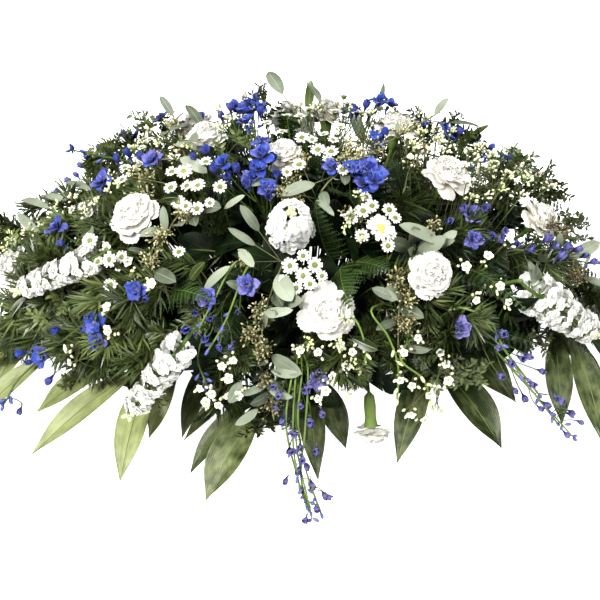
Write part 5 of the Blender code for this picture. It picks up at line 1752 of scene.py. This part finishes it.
def face_of(stem, base, tip, half_width, toward):
    """The face of a leaf from the solid's points along it: across is where they spread widest."""
    base, tip = np.array(base), np.array(tip)
    ahead = unit(tip - base)
    offset = stem.cloud - base
    share = offset @ ahead / np.linalg.norm(tip - base)
    flat = offset - np.outer(offset @ ahead, ahead)
    width = np.linalg.norm(flat, axis=1)
    near = (share > 0.15) & (share < 0.9) & (width > half_width * 0.35) & (width < half_width * 1.25)
    toward = np.array(toward)
    if near.sum() < 2:
        return Vector(unit(toward - ahead * (toward @ ahead)))
    across = np.linalg.svd(flat[near], full_matrices=False)[2][0]
    face = np.cross(across, ahead)
    return Vector(unit(face * (1 if face @ toward >= 0 else -1)))


def broad_blade(growth, base, tip, face, width, finish, tone, bow, cup, outline, columns, **form):
    """One broad leaf from base to tip, bowed towards its face."""
    along, length, arch = bowed(base, tip, face, bow)
    grid = blades(base, along, face, length, width, outline, columns, arch=arch, cup=cup, **form)
    growth.add(grid, finish, tone)


def add_palm_leaf(growth, base, tip, face, width, tone, draw):
    """One long pointed palm leaflet, ruffled a little."""
    form = {"wave": 0.03, "waves": 1.0, "phase": draw.uniform(0, 6)}
    broad_blade(growth, base, tip, face, width, "Palm leaf", tone, 0.07, 0.22, LANCE, 11, **form)


def seed_cluster(growth, base, out, draw, tone):
    """Eucalyptus seeds: small cones on short stalks that fork from one point."""
    count = SEEDS_TOGETHER
    aims = unit(np.array(out) * 0.75 + draw.normal(0, 0.75, (count, 3)))
    reach = SEED_REACH * draw.uniform(0.45, 1.1, count)[:, None]
    base = np.array(base)[None] + draw.normal(0, 0.0035, (count, 3))
    ends = base + aims * reach
    middle = base + aims * reach * 0.5 + draw.normal(0, 0.001, (count, 3))
    stalks = curved(base, middle, ends, 3)
    growth.add(tubes(stalks, 0.00035, 3), "Twig bark", tone, closed=True)
    size = 0.0013 * draw.uniform(0.7, 1.3, count)
    tones = np.clip(tone + draw.normal(0, 0.3, count), 0, 1)
    growth.add(domes(ends, aims, size, size * 1.7, 4, 5, 0.42), "Eucalyptus seed", tones, closed=True)


def grow_eucalyptus(name, path, leaves, seeds, side):
    """Seeded eucalyptus: oval grey-green leaves and clusters of seeds along a stem."""
    stem = Stem(name, stem_path(path, side, EUCALYPTUS_RISE), EUCALYPTUS_STEM, 2 + len(path))
    draw = draw_from(name)
    growth = Growth()
    add_stem(growth, stem, "Twig bark", 0.7)

    def leaf_at(tip, share, matched):
        end = along_line(stem.line, min(share, LAST_BRANCH))
        reach = (tip - end).length
        base = tip.lerp(end, min(LEAF_LENGTH * (1 if matched else 0.8) / reach, 1))
        length = (tip - base).length
        toward = outward(tip) + Vector(draw.uniform(-0.35, 0.35, 3))
        face = face_of(stem, base, tip, 0.24 * length, toward) if matched else toward
        tone = draw.uniform(0.1, 0.8)
        width = length * (0.36 if matched else draw.uniform(0.24, 0.36))
        broad_blade(growth, base, tip, face, width, "Eucalyptus leaf", tone, 0.06, 0.12, OVAL, 7)
        if reach > LEAF_LENGTH:
            foot = base.lerp(tip, 0.03)
            add_stalk(growth, end, foot, (tip - base).normalized(), "Twig bark", 0.6, FLORET_STALK)

    for pixel, share in leaves:
        spots = nudged(pixel, side, NUDGES, 0.03)
        leaf_at(stem.settle(spots)[0], share, True)
    for pixel in EXTRA_LEAVES.get(name, ()):
        tip = on_mound(pixel, side, draw.uniform(*LOOSE_RISES))
        spots = stem.fine_points()
        near = min(spots, key=lambda p: (p - tip).length)
        share = min(1.0, max(0.35, spots.index(near) / len(spots)))
        leaf_at(tip, share, False)
    tone = SEED_TONES.get(name, SEED_TONE)
    for share in seeds:
        for k in range(2):
            spot = stem.at(min(share - 0.016 * k, 1.0))
            seed_cluster(growth, spot, outward(spot), draw, tone)
    for pixel in EXTRA_SEEDS.get(name, ()):
        spot = on_mound(pixel, side, draw.uniform(0.95, 1.0))
        start = stem.branch(spot)
        add_stalk(growth, start, spot, (spot - start).normalized(), "Twig bark", 0.5, FLORET_STALK)
        for k in range(2):
            seed_cluster(growth, start.lerp(spot, 1 - 0.16 * k), outward(spot), draw, tone)
    growth.build(name, "eucalyptus_leaves", name)


def grow_palm(name, path, leaflets, side):
    """Palm: long pointed leaflets with parallel veins that fan out low from a rib."""

    def rib(lift):
        return [on_level(pixel, side, PALM_RIB_HEIGHT + lift / 4) for pixel in path]

    stem = Stem(name, rib, PALM_STEM, 3)
    draw = draw_from(name)
    growth = Growth()
    add_stem(growth, stem, "Green stem", 0.3)
    for pixel, share, width in leaflets:
        spots = [on_level(pixel, side, PALM_TIP_HEIGHT + 0.008 * lift) for lift in range(9)]
        tip = stem.settle(spots)[0]
        base = along_line(stem.line, min(share, LAST_BRANCH))
        face = Vector((draw.uniform(-0.2, 0.2), draw.uniform(-0.2, 0.2), 1))
        tone = PALM_TONES.get(name, PALM_TONE) + draw.uniform(-0.06, 0.06)
        add_palm_leaf(growth, base, tip, face, width * METRES_PER_PIXEL, tone, draw)
    growth.build(name, "palm_leaves", name)


def grow_fronds(name, fork, fork_rise, tips, covers, side, longest, slot, sprig):
    """Fern fronds or leafy twigs that part from one stem, with the broad leaves below them."""
    stem = Stem(name, lambda lift: [on_mound(fork, side, fork_rise + lift)], FERN_STEM, 3)
    draw = draw_from(name)
    growth = Growth()
    add_stem(growth, stem, "Fern rib", 0.3)
    nudges = NUDGES + [(r + 0.03, 2 * dx, 2 * dy) for r, dx, dy in NUDGES]
    for k, pixel in enumerate(tips):
        spots = nudged(pixel, side, nudges)
        tip = stem.settle(spots)[0]
        base = along_line(stem.line, LAST_BRANCH - 0.05 * k)
        face = face_of(stem, base, tip, longest, outward(tip))
        sprig(growth, base, tip, face, longest, draw, draw.uniform(0.3, 0.7))
    wide = NUDGES + [(rise, 3 * dx, 2 * dy) for rise, dx, dy in NUDGES]
    for k, pixel in enumerate(covers):
        spots = nudged(pixel, side, wide, -COVER_DEPTH)
        tip = stem.settle(spots)[0]
        base = along_line(stem.line, LAST_BRANCH - 0.04 - 0.03 * k)
        face = face_of(stem, base, tip, COVER_HALF_WIDTH, outward(tip))
        width = 2 * COVER_HALF_WIDTH
        tone = draw.uniform(0.1, 0.4)
        broad_blade(growth, base, tip, face, width, "Broad leaf", tone, 0.12, 0.1, POINTED, 7)
    growth.build(name, slot, name)


def fill_directions(count):
    """Evenly spread directions over the mound, from its low skirt to its top."""
    for k in range(count):
        z = 1 - (k + 0.5) / count * (1 - FILL_LOWEST)
        flat = math.sqrt(1 - z * z)
        yield Vector((flat * math.cos(GOLDEN_ANGLE * k), flat * math.sin(GOLDEN_ANGLE * k), z))


def in_mound(direction, rise):
    """The point of the mound in a direction, made `rise` times as large."""
    return MOUND_MIDDLE + Vector([direction[i] * MOUND_HALF[i] * rise for i in range(3)])


def pixel_of(point):
    """The pixel of the photograph that shows a point."""
    cos, sin = math.cos(PHOTO_ELEVATION), math.sin(PHOTO_ELEVATION)
    offset = point - PHOTO_AIM
    depth = PHOTO_DISTANCE + offset.y * cos - offset.z * sin
    scale = PHOTO_DISTANCE / depth / METRES_PER_PIXEL
    return PHOTO_PIXELS / 2 + offset.x * scale, PHOTO_PIXELS / 2 - (offset.y * sin + offset.z * cos) * scale


def bloom_places():
    """The middles of the large blooms, with the radius that sprigs leave free round each."""
    places = []
    for pixel, width, side in CARNATIONS.values():
        places.append((on_mound(pixel, side, 1.0), CARNATION_RADIUS * width / CARNATION_WIDTH * CLEARANCE))
    for start, start_rise, end, end_rise, width, _, side in STOCKS.values():
        first, last = on_mound(start, side, start_rise), on_mound(end, side, end_rise)
        radius = width / 2 * METRES_PER_PIXEL * CLEARANCE
        places += [(first.lerp(last, t / 3), radius) for t in range(4)]
    return places


def is_free(base, tip, blooms):
    """Whether a sprig from base to tip hides no large bloom and no place that the photograph shows bare."""
    for k in range(2, 9):
        spot = base.lerp(tip, k / 8)
        if any((spot - middle).length < radius for middle, radius in blooms):
            return False
        across, down = pixel_of(spot)
        near_side = spot.y < 0
        if near_side and any(math.hypot(across - x, down - y) < radius for x, y, radius in BARE_PIXELS):
            return False
    return True


def region_of(across):
    """Which third of the mound a place is in, from -1 at the left to 1 at the right."""
    return "left" if across < -0.35 else "right" if across > 0.35 else "middle"


def spine_root(goal):
    """Where a filling stem enters the foam."""
    ways = zip(goal, ROOT_SHARES, ROOT_REACHES)
    return Vector((*(max(-reach, min(reach, g * share)) for g, share, reach in ways), ROOT_HEIGHT))


def foam_stem(growth, goal):
    """A thin stem from the foam to where a sprig starts."""
    root = spine_root(goal)
    line = curved(root, root.lerp(goal, 0.5) + Vector((0, 0, 0.02)), goal, 6)
    growth.add(tubes(line, FOAM_STEM_RADIUS, 4), "Green stem", 0.1, closed=True)


def grow_sprig(growth, kind, base, tip, draw, tone):
    """One sprig of a kind, on a thin stem from the foam."""
    face = (outward(tip) + Vector(draw.uniform(-0.4, 0.4, 3))).normalized()
    size = SPRIG_SIZES[kind]
    if kind == "fern":
        fern_frond(growth, base, tip, face, size, draw, tone * 0.7)
    elif kind == "small":
        leafy_twig(growth, base, tip, face, size, draw, tone)
    elif kind == "needle":
        needle_twig(growth, base, tip, face, size, draw, tone, *NEEDLES[kind])
    elif kind == "long":
        needle_twig(growth, base, tip, face, size, draw, tone * 0.8, *NEEDLES[kind])
    else:
        for _ in range(3):
            end = base.lerp(tip, draw.uniform(0.7, 0.95)) + Vector(draw.normal(0, 0.014, 3))
            broad_blade(growth, base, end, face, size, "Broad leaf", tone * 0.6, 0.1, 0.12, POINTED, 5)
    foam_stem(growth, base)


def grow_filler():
    """Sprigs all over the mound, back and skirt too, and dark leaves inside it, near black as painted shade.
    """
    regions = list(FILL_SHARES)
    growths = {(kind, region): Growth() for kind in FILL_KINDS for region in regions}
    draw = draw_from("filler")
    blooms = bloom_places()
    for kind, sprigs in SPRIGS.items():
        for base, tip in sprigs:
            base, tip = (on_mound(p, FRONT, rise) for p, rise in zip((base, tip), SPRIG_RISES))
            if not is_free(base, tip, blooms):
                continue
            region = region_of(tip.x / MOUND_HALF.x)
            grow_sprig(growths[kind, region], kind, base, tip, draw, draw.uniform(*REGION_TONES[region]))
    for direction in fill_directions(FILL_COUNT):
        sideways = Vector(draw.normal(0, 0.22, 3))
        inner = (direction + Vector((0, 0, 0.42)) + sideways).normalized()
        base = in_mound(inner, draw.uniform(*FILL_DEPTHS))
        tip = in_mound(direction, draw.uniform(*FILL_TIPS))
        tip.z = max(tip.z, SKIRT_HEIGHT)
        region = region_of(direction.x)
        kind = draw.choice(FILL_KINDS, p=FILL_SHARES[region])
        if not is_free(base, tip, blooms):
            continue
        grow_sprig(growths[kind, region], kind, base, tip, draw, draw.uniform(*REGION_TONES[region]))
    # Painted shade: near-black broad leaves deep in the mound, dark as the shade inside it
    for direction in fill_directions(INNER_COUNT):
        inner = growths["broad", region_of(direction.x)]
        leaning = (direction + Vector(draw.normal(0, 0.1, 3))).normalized()
        middle = in_mound(leaning, draw.uniform(*INNER_RISES))
        middle.z = max(middle.z, 0.05)
        for k in range(INNER_LEAVES):
            way = turned_to(outward(middle), 1.6 * k + draw.uniform(-0.5, 0.5)) @ Vector((1, 0, 0.25))
            end = middle + way.normalized() * draw.uniform(*INNER_LENGTHS)
            end.z = max(end.z, 0.02)
            if not is_free(middle, end, ()):
                continue
            face = (outward(middle) + Vector(draw.uniform(-0.3, 0.3, 3))).normalized()
            tone = draw.uniform(0, 0.3)
            broad_blade(inner, middle, end, face, INNER_WIDTH, "Broad leaf", tone, 0.1, 0.1, POINTED, 5)
        foam_stem(inner, middle)
    for (kind, region), growth in growths.items():
        slot = "fern_leaves" if kind in ("fern", "broad") else "small_leaves"
        growth.build("filler_" + kind + "_" + region, slot)


def colour_setting(name, description, default):
    """A colour that the sidebar shows."""
    return bpy.props.FloatVectorProperty(
        name=name, description=description, default=default, subtype="COLOR", size=3, min=0, max=1
    )


class SprayBlooms(bpy.types.PropertyGroup):
    """Colours of the flowers."""

    white: colour_setting("White", "Petals of the white flowers", (0.71, 0.70, 0.65))
    bright: colour_setting("Bright white", "Stock petals", (0.92, 0.92, 0.88))
    shade: colour_setting("Shade", "White petals where they are thicker", (0.64, 0.61, 0.55))
    cream: colour_setting("Cream", "Throats of carnations and stock, pale buds", (0.72, 0.67, 0.53))
    lime: colour_setting("Lime", "Throats of daisies and wax flowers", (0.50, 0.58, 0.22))
    royal: colour_setting("Royal blue", "Bluest delphinium petals", (0.016, 0.055, 0.33))
    # Painted shade: dark navy toward the base of each delphinium petal, standing in for the shade in the
    # floret's hollow
    throat_shade: colour_setting("Night blue", "Throats of the delphiniums", (0.008, 0.008, 0.10))
    violet: colour_setting("Violet", "Palest delphinium petals", (0.165, 0.148, 0.35))
    bee: colour_setting("Bee", "Pale middle of a delphinium", (0.45, 0.47, 0.72))
    heart: colour_setting("Heart", "Ripe daisy hearts", (0.52, 0.48, 0.11))
    olive: colour_setting("Olive", "Young daisy hearts", (0.13, 0.17, 0.04))


class SprayFoliage(bpy.types.PropertyGroup):
    """Colours of the leaves, stems and seeds."""

    palm_deep: colour_setting("Deep palm", "Palm leaflets in full green", (0.014, 0.026, 0.005))
    # Pale palm is partly the leaflets' own colour and partly painted light shining through them
    palm_pale: colour_setting("Pale palm", "Thin, paler palm leaflets", (0.31, 0.345, 0.15))
    palm_vein: colour_setting("Palm veins", "Veins of the palm", (0.13, 0.155, 0.05))
    fern_deep: colour_setting("Deep fern", "Shaded fern leaves", (0.002, 0.006, 0.002))
    fern_pale: colour_setting("Pale fern", "Lit fern leaves", (0.026, 0.05, 0.012))
    leaf_deep: colour_setting("Deep leaf", "Dark small leaves", (0.003, 0.009, 0.002))
    # Pale leaf also gives the few much lighter small and needle leaves, which are painted highlights
    leaf_pale: colour_setting("Pale leaf", "Light small leaves", (0.16, 0.20, 0.065))
    gum_deep: colour_setting("Deep eucalyptus", "Greener eucalyptus leaves", (0.038, 0.055, 0.03))
    gum_pale: colour_setting("Pale eucalyptus", "Greyer eucalyptus leaves", (0.27, 0.30, 0.22))
    gum_vein: colour_setting("Eucalyptus vein", "Midribs of eucalyptus", (0.24, 0.26, 0.18))
    seed_brown: colour_setting("Brown seed", "Darker seeds", (0.11, 0.075, 0.025))
    seed_cream: colour_setting("Cream seed", "Paler seeds", (0.52, 0.50, 0.28))
    stem: colour_setting("Stem", "Green stems", (0.14, 0.21, 0.045))
    stem_deep: colour_setting("Deep stem", "Dark green stems", (0.035, 0.06, 0.014))
    bark: colour_setting("Bark", "Twigs", (0.050, 0.040, 0.020))
    bark_pale: colour_setting("Pale bark", "Green young twigs", (0.20, 0.21, 0.09))


class SprayHolder(bpy.types.PropertyGroup):
    """Colours of the foam and tray."""

    foam: colour_setting("Foam", "Wet floral foam", (0.035, 0.075, 0.028))
    foam_dark: colour_setting("Foam pores", "Pores of the foam", (0.012, 0.028, 0.010))
    tray: colour_setting("Tray", "Dark green plastic", (0.016, 0.045, 0.020))


class SprayStage(bpy.types.PropertyGroup):
    """The floor and the lights."""

    floor: colour_setting("Floor", "Paper under the spray", (0.9, 0.9, 0.9))
    glow: bpy.props.FloatProperty(name="Glow", description="How far the paper is overexposed", default=0.92)
    key: bpy.props.FloatProperty(name="Key", description="Power of the key light", default=112, unit="POWER")
    fill: bpy.props.FloatProperty(name="Fill", description="Brightness of the surroundings", default=0.15)
    key_size: bpy.props.FloatProperty(
        name="Key size", description="Side of the key", default=0.9, unit="LENGTH"
    )


# Each finish: surface, settings group, colours, numbers, shader constants, bump strength and distance
GREEN = {"Deep": "stem_deep", "Light": "stem", "Speck": "stem"}
BARK = {"Deep": "bark", "Light": "bark_pale", "Speck": "bark"}
LEAF_SHEEN = {"Roughness": 0.34, "Specular IOR Level": 0.4}
THIN = {"Subsurface Weight": 0.6, "Subsurface Scale": 0.007, "Subsurface Radius": (1.0, 1.0, 0.9)}
WHITE_PETAL = {"Roughness": 0.6, **THIN}
FINISHES = {
    "Carnation petal": (
        "petal", "spray_blooms", {"Deep": "shade", "Light": "white", "Throat": "cream"},
        {"Throat Reach": 0.75, "Streaks": 26.0, "Streak Strength": 0.5}, WHITE_PETAL, (0.25, 0.0012),
    ),
    "Stock petal": (
        "petal", "spray_blooms", {"Deep": "white", "Light": "bright", "Throat": "cream"},
        {"Throat Reach": 0.3, "Streaks": 20.0}, WHITE_PETAL, (0.15, 0.0008),
    ),
    "Daisy ray": (
        "petal", "spray_blooms", {"Deep": "shade", "Light": "white", "Throat": "lime"},
        {"Throat Reach": 0.2, "Streaks": 16.0}, WHITE_PETAL, (0.2, 0.0006),
    ),
    "Wax petal": (
        "petal", "spray_blooms", {"Deep": "shade", "Light": "white", "Throat": "lime"},
        {"Throat Reach": 0.4, "Streaks": 12.0}, {"Roughness": 0.4}, (0.2, 0.0006),
    ),
    # The delphinium petals' dark throat is painted shade in the floret's hollow
    "Delphinium petal": (
        "petal", "spray_blooms", {"Deep": "violet", "Light": "royal", "Throat": "throat_shade"},
        {"Throat Reach": 0.75, "Streaks": 18.0, "Streak Strength": 0.9},
        {"Roughness": 0.5, "Sheen Weight": 0.2}, (0.3, 0.001),
    ),
    "Delphinium bee": (
        "petal", "spray_blooms", {"Deep": "violet", "Light": "bee", "Throat": "lime"},
        {"Throat Reach": 0.3}, {"Roughness": 0.6}, (0.2, 0.0006),
    ),
    "Flower heart": (
        "grain", "spray_blooms", {"Deep": "olive", "Light": "lime", "Speck": "cream"},
        {"Grain": 900.0}, {"Roughness": 0.7}, (0.4, 0.001),
    ),
    "Daisy heart": (
        "grain", "spray_blooms", {"Deep": "olive", "Light": "heart", "Speck": "heart"},
        {"Grain": 1400.0}, {"Roughness": 0.8}, (0.6, 0.001),
    ),
    "Flower bud": (
        "grain", "spray_blooms", {"Deep": "lime", "Light": "cream", "Speck": "lime"},
        {"Grain": 700.0}, {"Roughness": 0.5}, (0.2, 0.0006),
    ),
    "Violet bud": (
        "grain", "spray_blooms", {"Deep": "violet", "Light": "royal", "Speck": "lime"},
        {"Grain": 500.0}, {"Roughness": 0.5}, (0.2, 0.0006),
    ),
    "Eucalyptus leaf": (
        "leaf", "spray_foliage", {"Deep": "gum_deep", "Light": "gum_pale", "Vein": "gum_vein"},
        {"Veins Across": -3.0, "Veins Along": 9.0, "Vein Strength": 0.25, "Rib Width": 0.1},
        {"Roughness": 0.5}, (0.3, 0.0006),
    ),
    # The palm's crinkle value also paints highlights and shade along its crinkles
    "Palm leaf": (
        "leaf", "spray_foliage", {"Deep": "palm_deep", "Light": "palm_pale", "Vein": "palm_vein"},
        {"Veins Across": 9.0, "Vein Strength": 0.3, "Rib Width": 0.06, "Crinkle And Sheen": 0.8},
        {"Roughness": 0.36, "Specular IOR Level": 0.4}, (0.4, 0.001),
    ),
    "Broad leaf": (
        "leaf", "spray_foliage", {"Deep": "fern_deep", "Light": "fern_pale", "Vein": "fern_pale"},
        {"Veins Across": -3.0, "Veins Along": 10.0, "Vein Strength": 0.12, "Rib Width": 0.05},
        {"Roughness": 0.55, "Specular IOR Level": 0.2}, (0.3, 0.0006),
    ),
    "Fern leaf": (
        "leaf", "spray_foliage", {"Deep": "fern_deep", "Light": "fern_pale", "Vein": "fern_pale"},
        {"Rib Width": 0.2}, LEAF_SHEEN, (0.2, 0.0005),
    ),
    "Small leaf": (
        "leaf", "spray_foliage", {"Deep": "leaf_deep", "Light": "leaf_pale", "Vein": "leaf_pale"},
        {"Rib Width": 0.15}, LEAF_SHEEN, (0.2, 0.0005),
    ),
    "Needle leaf": (
        "leaf", "spray_foliage", {"Deep": "leaf_deep", "Light": "leaf_pale", "Vein": "leaf_pale"},
        {"Rib Width": 0.2}, LEAF_SHEEN, (0.2, 0.0005),
    ),
    "Eucalyptus seed": (
        "grain", "spray_foliage", {"Deep": "seed_brown", "Light": "seed_cream", "Speck": "leaf_pale"},
        {"Grain": 600.0}, {"Roughness": 0.55}, (0.3, 0.0006),
    ),
    "Fern rib": ("grain", "spray_foliage", GREEN, {"Grain": 500.0}, {"Roughness": 0.5}, (0.3, 0.0005)),
    "Green stem": ("grain", "spray_foliage", GREEN, {"Grain": 500.0}, {"Roughness": 0.45}, (0.3, 0.0005)),
    "Twig bark": ("grain", "spray_foliage", BARK, {"Grain": 600.0}, {"Roughness": 0.7}, (0.5, 0.0005)),
    "Foam": (
        "grain", "spray_holder", {"Deep": "foam_dark", "Light": "foam", "Speck": "foam_dark"},
        {"Grain": 1600.0, "Speck Strength": 0.8}, {"Roughness": 0.95}, (0.8, 0.002),
    ),
    "Tray plastic": (
        "grain", "spray_holder", {"Deep": "tray", "Light": "tray", "Speck": "foam"},
        {"Grain": 300.0, "Speck Strength": 0.1}, {"Roughness": 0.35}, (0.1, 0.0005),
    ),
}


def dress_holder():
    """The foam and tray keep their solids and take finer materials."""
    for name, finish in (("foam", "Foam"), ("tray", "Tray plastic")):
        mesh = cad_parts[name].data
        mesh.materials.clear()
        mesh.materials.append(finish_named(finish))


# Half the side of the floor, and how far it lies below the spray
FLOOR_HALF = 6.0
FLOOR_DROP = 0.0005

# Each light's place, and its power and size as shares of the key's
LIGHTS = {
    "key": ((-1.1, -1.5, 2.3), 1.0, 1.0),
    "top": ((0.5, 1.1, 2.4), 0.45, 1.5),
    "right": ((1.5, -1.3, 1.6), 0.28, 1.5),
}


def set_stage():
    """A wide pale floor, soft lights from the left, the right and behind, and the photograph's viewpoint."""
    scene = bpy.context.scene
    stage = scene.spray_stage
    floor = bpy.data.meshes.new("floor")
    half = FLOOR_HALF
    corners = [(-half, -half, 0), (half, -half, 0), (half, half, 0), (-half, half, 0)]
    floor.from_pydata(corners, [], [(0, 1, 2, 3)])
    material = bpy.data.materials.new("Floor paper")
    material.use_nodes = True
    body = material.node_tree.nodes["Principled BSDF"]
    body.inputs["Base Color"].default_value = colour_of(stage, "floor")
    body.inputs["Roughness"].default_value = 0.9
    body.inputs["Emission Color"].default_value = (1, 1, 1, 1)
    nodes = Nodes(material.node_tree)
    seen = nodes.add("ShaderNodeLightPath").outputs["Is Camera Ray"]
    nodes.tree.links.new(nodes.math("MULTIPLY", seen, stage.glow), body.inputs["Emission Strength"])
    floor.materials.append(material)
    ground = bpy.data.objects.new("floor", floor)
    ground.location.z = cad_box[0][2] - FLOOR_DROP
    scene.collection.objects.link(ground)
    for name, (place, power, size) in LIGHTS.items():
        lamp = bpy.data.lights.new(name, "AREA")
        lamp.energy = stage.key * power
        lamp.size = stage.key_size * size
        obj = bpy.data.objects.new(name, lamp)
        obj.location = place
        obj.rotation_euler = (PHOTO_AIM - Vector(place)).to_track_quat("-Z", "Y").to_euler()
        scene.collection.objects.link(obj)
    world = bpy.data.worlds.new("Studio")
    world.use_nodes = True
    world.node_tree.nodes["Background"].inputs["Color"].default_value = (1, 1, 1, 1)
    world.node_tree.nodes["Background"].inputs["Strength"].default_value = stage.fill
    scene.world = world
    lens = bpy.data.cameras.new("camera")
    lens.sensor_fit = "HORIZONTAL"
    lens.angle = 2 * math.atan(PHOTO_SPAN / 2 / PHOTO_DISTANCE)
    camera = bpy.data.objects.new("camera", lens)
    back = Vector((0, -math.cos(PHOTO_ELEVATION), math.sin(PHOTO_ELEVATION)))
    camera.location = PHOTO_AIM + back * PHOTO_DISTANCE
    camera.rotation_euler = back.to_track_quat("Z", "Y").to_euler()
    scene.collection.objects.link(camera)
    scene.camera = camera
    scene.view_settings.view_transform = "Standard"
    scene.view_settings.look = "Medium High Contrast"


def grow_all(table, grow):
    """Grows every plant of a table whose rows are the arguments."""
    for name, row in table.items():
        grow(name, *row)


def grow_ferns():
    """Every stem of fern fronds."""
    for name, row in FERNS.items():
        grow_fronds(name, *row, FERN_LONGEST, "fern_leaves", fern_frond)


def grow_foliage():
    """Every stem of small-leaved foliage."""
    for name, row in FOLIAGE.items():
        grow_fronds(name, *row, FOLIAGE_LONGEST, "small_leaves", leafy_twig)


class SPRAY_OT_holder(bpy.types.Operator):
    """Give the foam and the tray their finishes"""

    bl_idname = "spray.holder"
    bl_label = "Foam and tray"

    def execute(self, context):
        dress_holder()
        return {"FINISHED"}


class SPRAY_OT_carnations(bpy.types.Operator):
    """Grow the carnations round their solids"""

    bl_idname = "spray.carnations"
    bl_label = "Carnations"

    def execute(self, context):
        grow_all(CARNATIONS, grow_carnation)
        grow_low_carnation()
        return {"FINISHED"}


class SPRAY_OT_stocks(bpy.types.Operator):
    """Grow the spikes of stock"""

    bl_idname = "spray.stocks"
    bl_label = "Stock"

    def execute(self, context):
        grow_all(STOCKS, grow_stock)
        return {"FINISHED"}


class SPRAY_OT_delphiniums(bpy.types.Operator):
    """Grow the delphiniums"""

    bl_idname = "spray.delphiniums"
    bl_label = "Delphiniums"

    def execute(self, context):
        grow_all(DELPHINIUMS, grow_delphinium)
        return {"FINISHED"}


class SPRAY_OT_daisies(bpy.types.Operator):
    """Grow the sprays of daisies"""

    bl_idname = "spray.daisies"
    bl_label = "Daisies"

    def execute(self, context):
        grow_all(DAISIES, grow_daisies)
        return {"FINISHED"}


class SPRAY_OT_wax_flowers(bpy.types.Operator):
    """Grow the clusters of wax flowers"""

    bl_idname = "spray.wax_flowers"
    bl_label = "Wax flowers"

    def execute(self, context):
        grow_all(WAX_FLOWERS, grow_wax)
        return {"FINISHED"}


class SPRAY_OT_eucalyptus(bpy.types.Operator):
    """Grow the eucalyptus leaves and seeds"""

    bl_idname = "spray.eucalyptus"
    bl_label = "Seeded eucalyptus"

    def execute(self, context):
        grow_all(EUCALYPTUS, grow_eucalyptus)
        return {"FINISHED"}


class SPRAY_OT_palms(bpy.types.Operator):
    """Grow the palm leaflets"""

    bl_idname = "spray.palms"
    bl_label = "Palm"

    def execute(self, context):
        grow_all(PALMS, grow_palm)
        return {"FINISHED"}


class SPRAY_OT_ferns(bpy.types.Operator):
    """Grow the fern fronds and the broad leaves below them"""

    bl_idname = "spray.ferns"
    bl_label = "Leatherleaf fern"

    def execute(self, context):
        grow_ferns()
        return {"FINISHED"}


class SPRAY_OT_foliage(bpy.types.Operator):
    """Grow the twigs of small leaves and the leaves that stand alone"""

    bl_idname = "spray.foliage"
    bl_label = "Small-leaved foliage"

    def execute(self, context):
        grow_foliage()
        grow_single_leaves()
        return {"FINISHED"}


class SPRAY_OT_filler(bpy.types.Operator):
    """Close the mound with sprigs all round"""

    bl_idname = "spray.filler"
    bl_label = "Filling foliage"

    def execute(self, context):
        grow_filler()
        return {"FINISHED"}


class SPRAY_OT_stage(bpy.types.Operator):
    """Set the floor, the lights and the camera"""

    bl_idname = "spray.stage"
    bl_label = "Stage"

    def execute(self, context):
        set_stage()
        return {"FINISHED"}


OPERATORS = [
    SPRAY_OT_holder,
    SPRAY_OT_carnations,
    SPRAY_OT_stocks,
    SPRAY_OT_delphiniums,
    SPRAY_OT_daisies,
    SPRAY_OT_wax_flowers,
    SPRAY_OT_eucalyptus,
    SPRAY_OT_palms,
    SPRAY_OT_ferns,
    SPRAY_OT_foliage,
    SPRAY_OT_filler,
    SPRAY_OT_stage,
]
GROUPS = {
    "spray_blooms": SprayBlooms,
    "spray_foliage": SprayFoliage,
    "spray_holder": SprayHolder,
    "spray_stage": SprayStage,
}


class SPRAY_PT_sidebar(bpy.types.Panel):
    """Lists the steps that dress the spray, and its settings"""

    bl_idname = "SPRAY_PT_sidebar"
    bl_label = "Flower spray"
    bl_space_type = "VIEW_3D"
    bl_region_type = "UI"
    bl_category = "Flower spray"

    def draw(self, context):
        for operator in OPERATORS:
            self.layout.operator(operator.bl_idname)
        for group, kind in GROUPS.items():
            for setting in kind.__annotations__:
                self.layout.prop(getattr(context.scene, group), setting)


def register():
    """Makes Blender know the settings, operators and panel."""
    for group, kind in GROUPS.items():
        bpy.utils.register_class(kind)
        setattr(bpy.types.Scene, group, bpy.props.PointerProperty(type=kind))
    for kind in [*OPERATORS, SPRAY_PT_sidebar]:
        bpy.utils.register_class(kind)


def unregister():
    """Takes them out again."""
    for kind in reversed([*OPERATORS, SPRAY_PT_sidebar]):
        bpy.utils.unregister_class(kind)
    for group, kind in GROUPS.items():
        delattr(bpy.types.Scene, group)
        bpy.utils.unregister_class(kind)


def main():
    """Dresses the spray."""
    register()
    for operator in OPERATORS:
        group, name = operator.bl_idname.split(".")
        getattr(getattr(bpy.ops, group), name)()


if __name__ == "__main__":
    main()
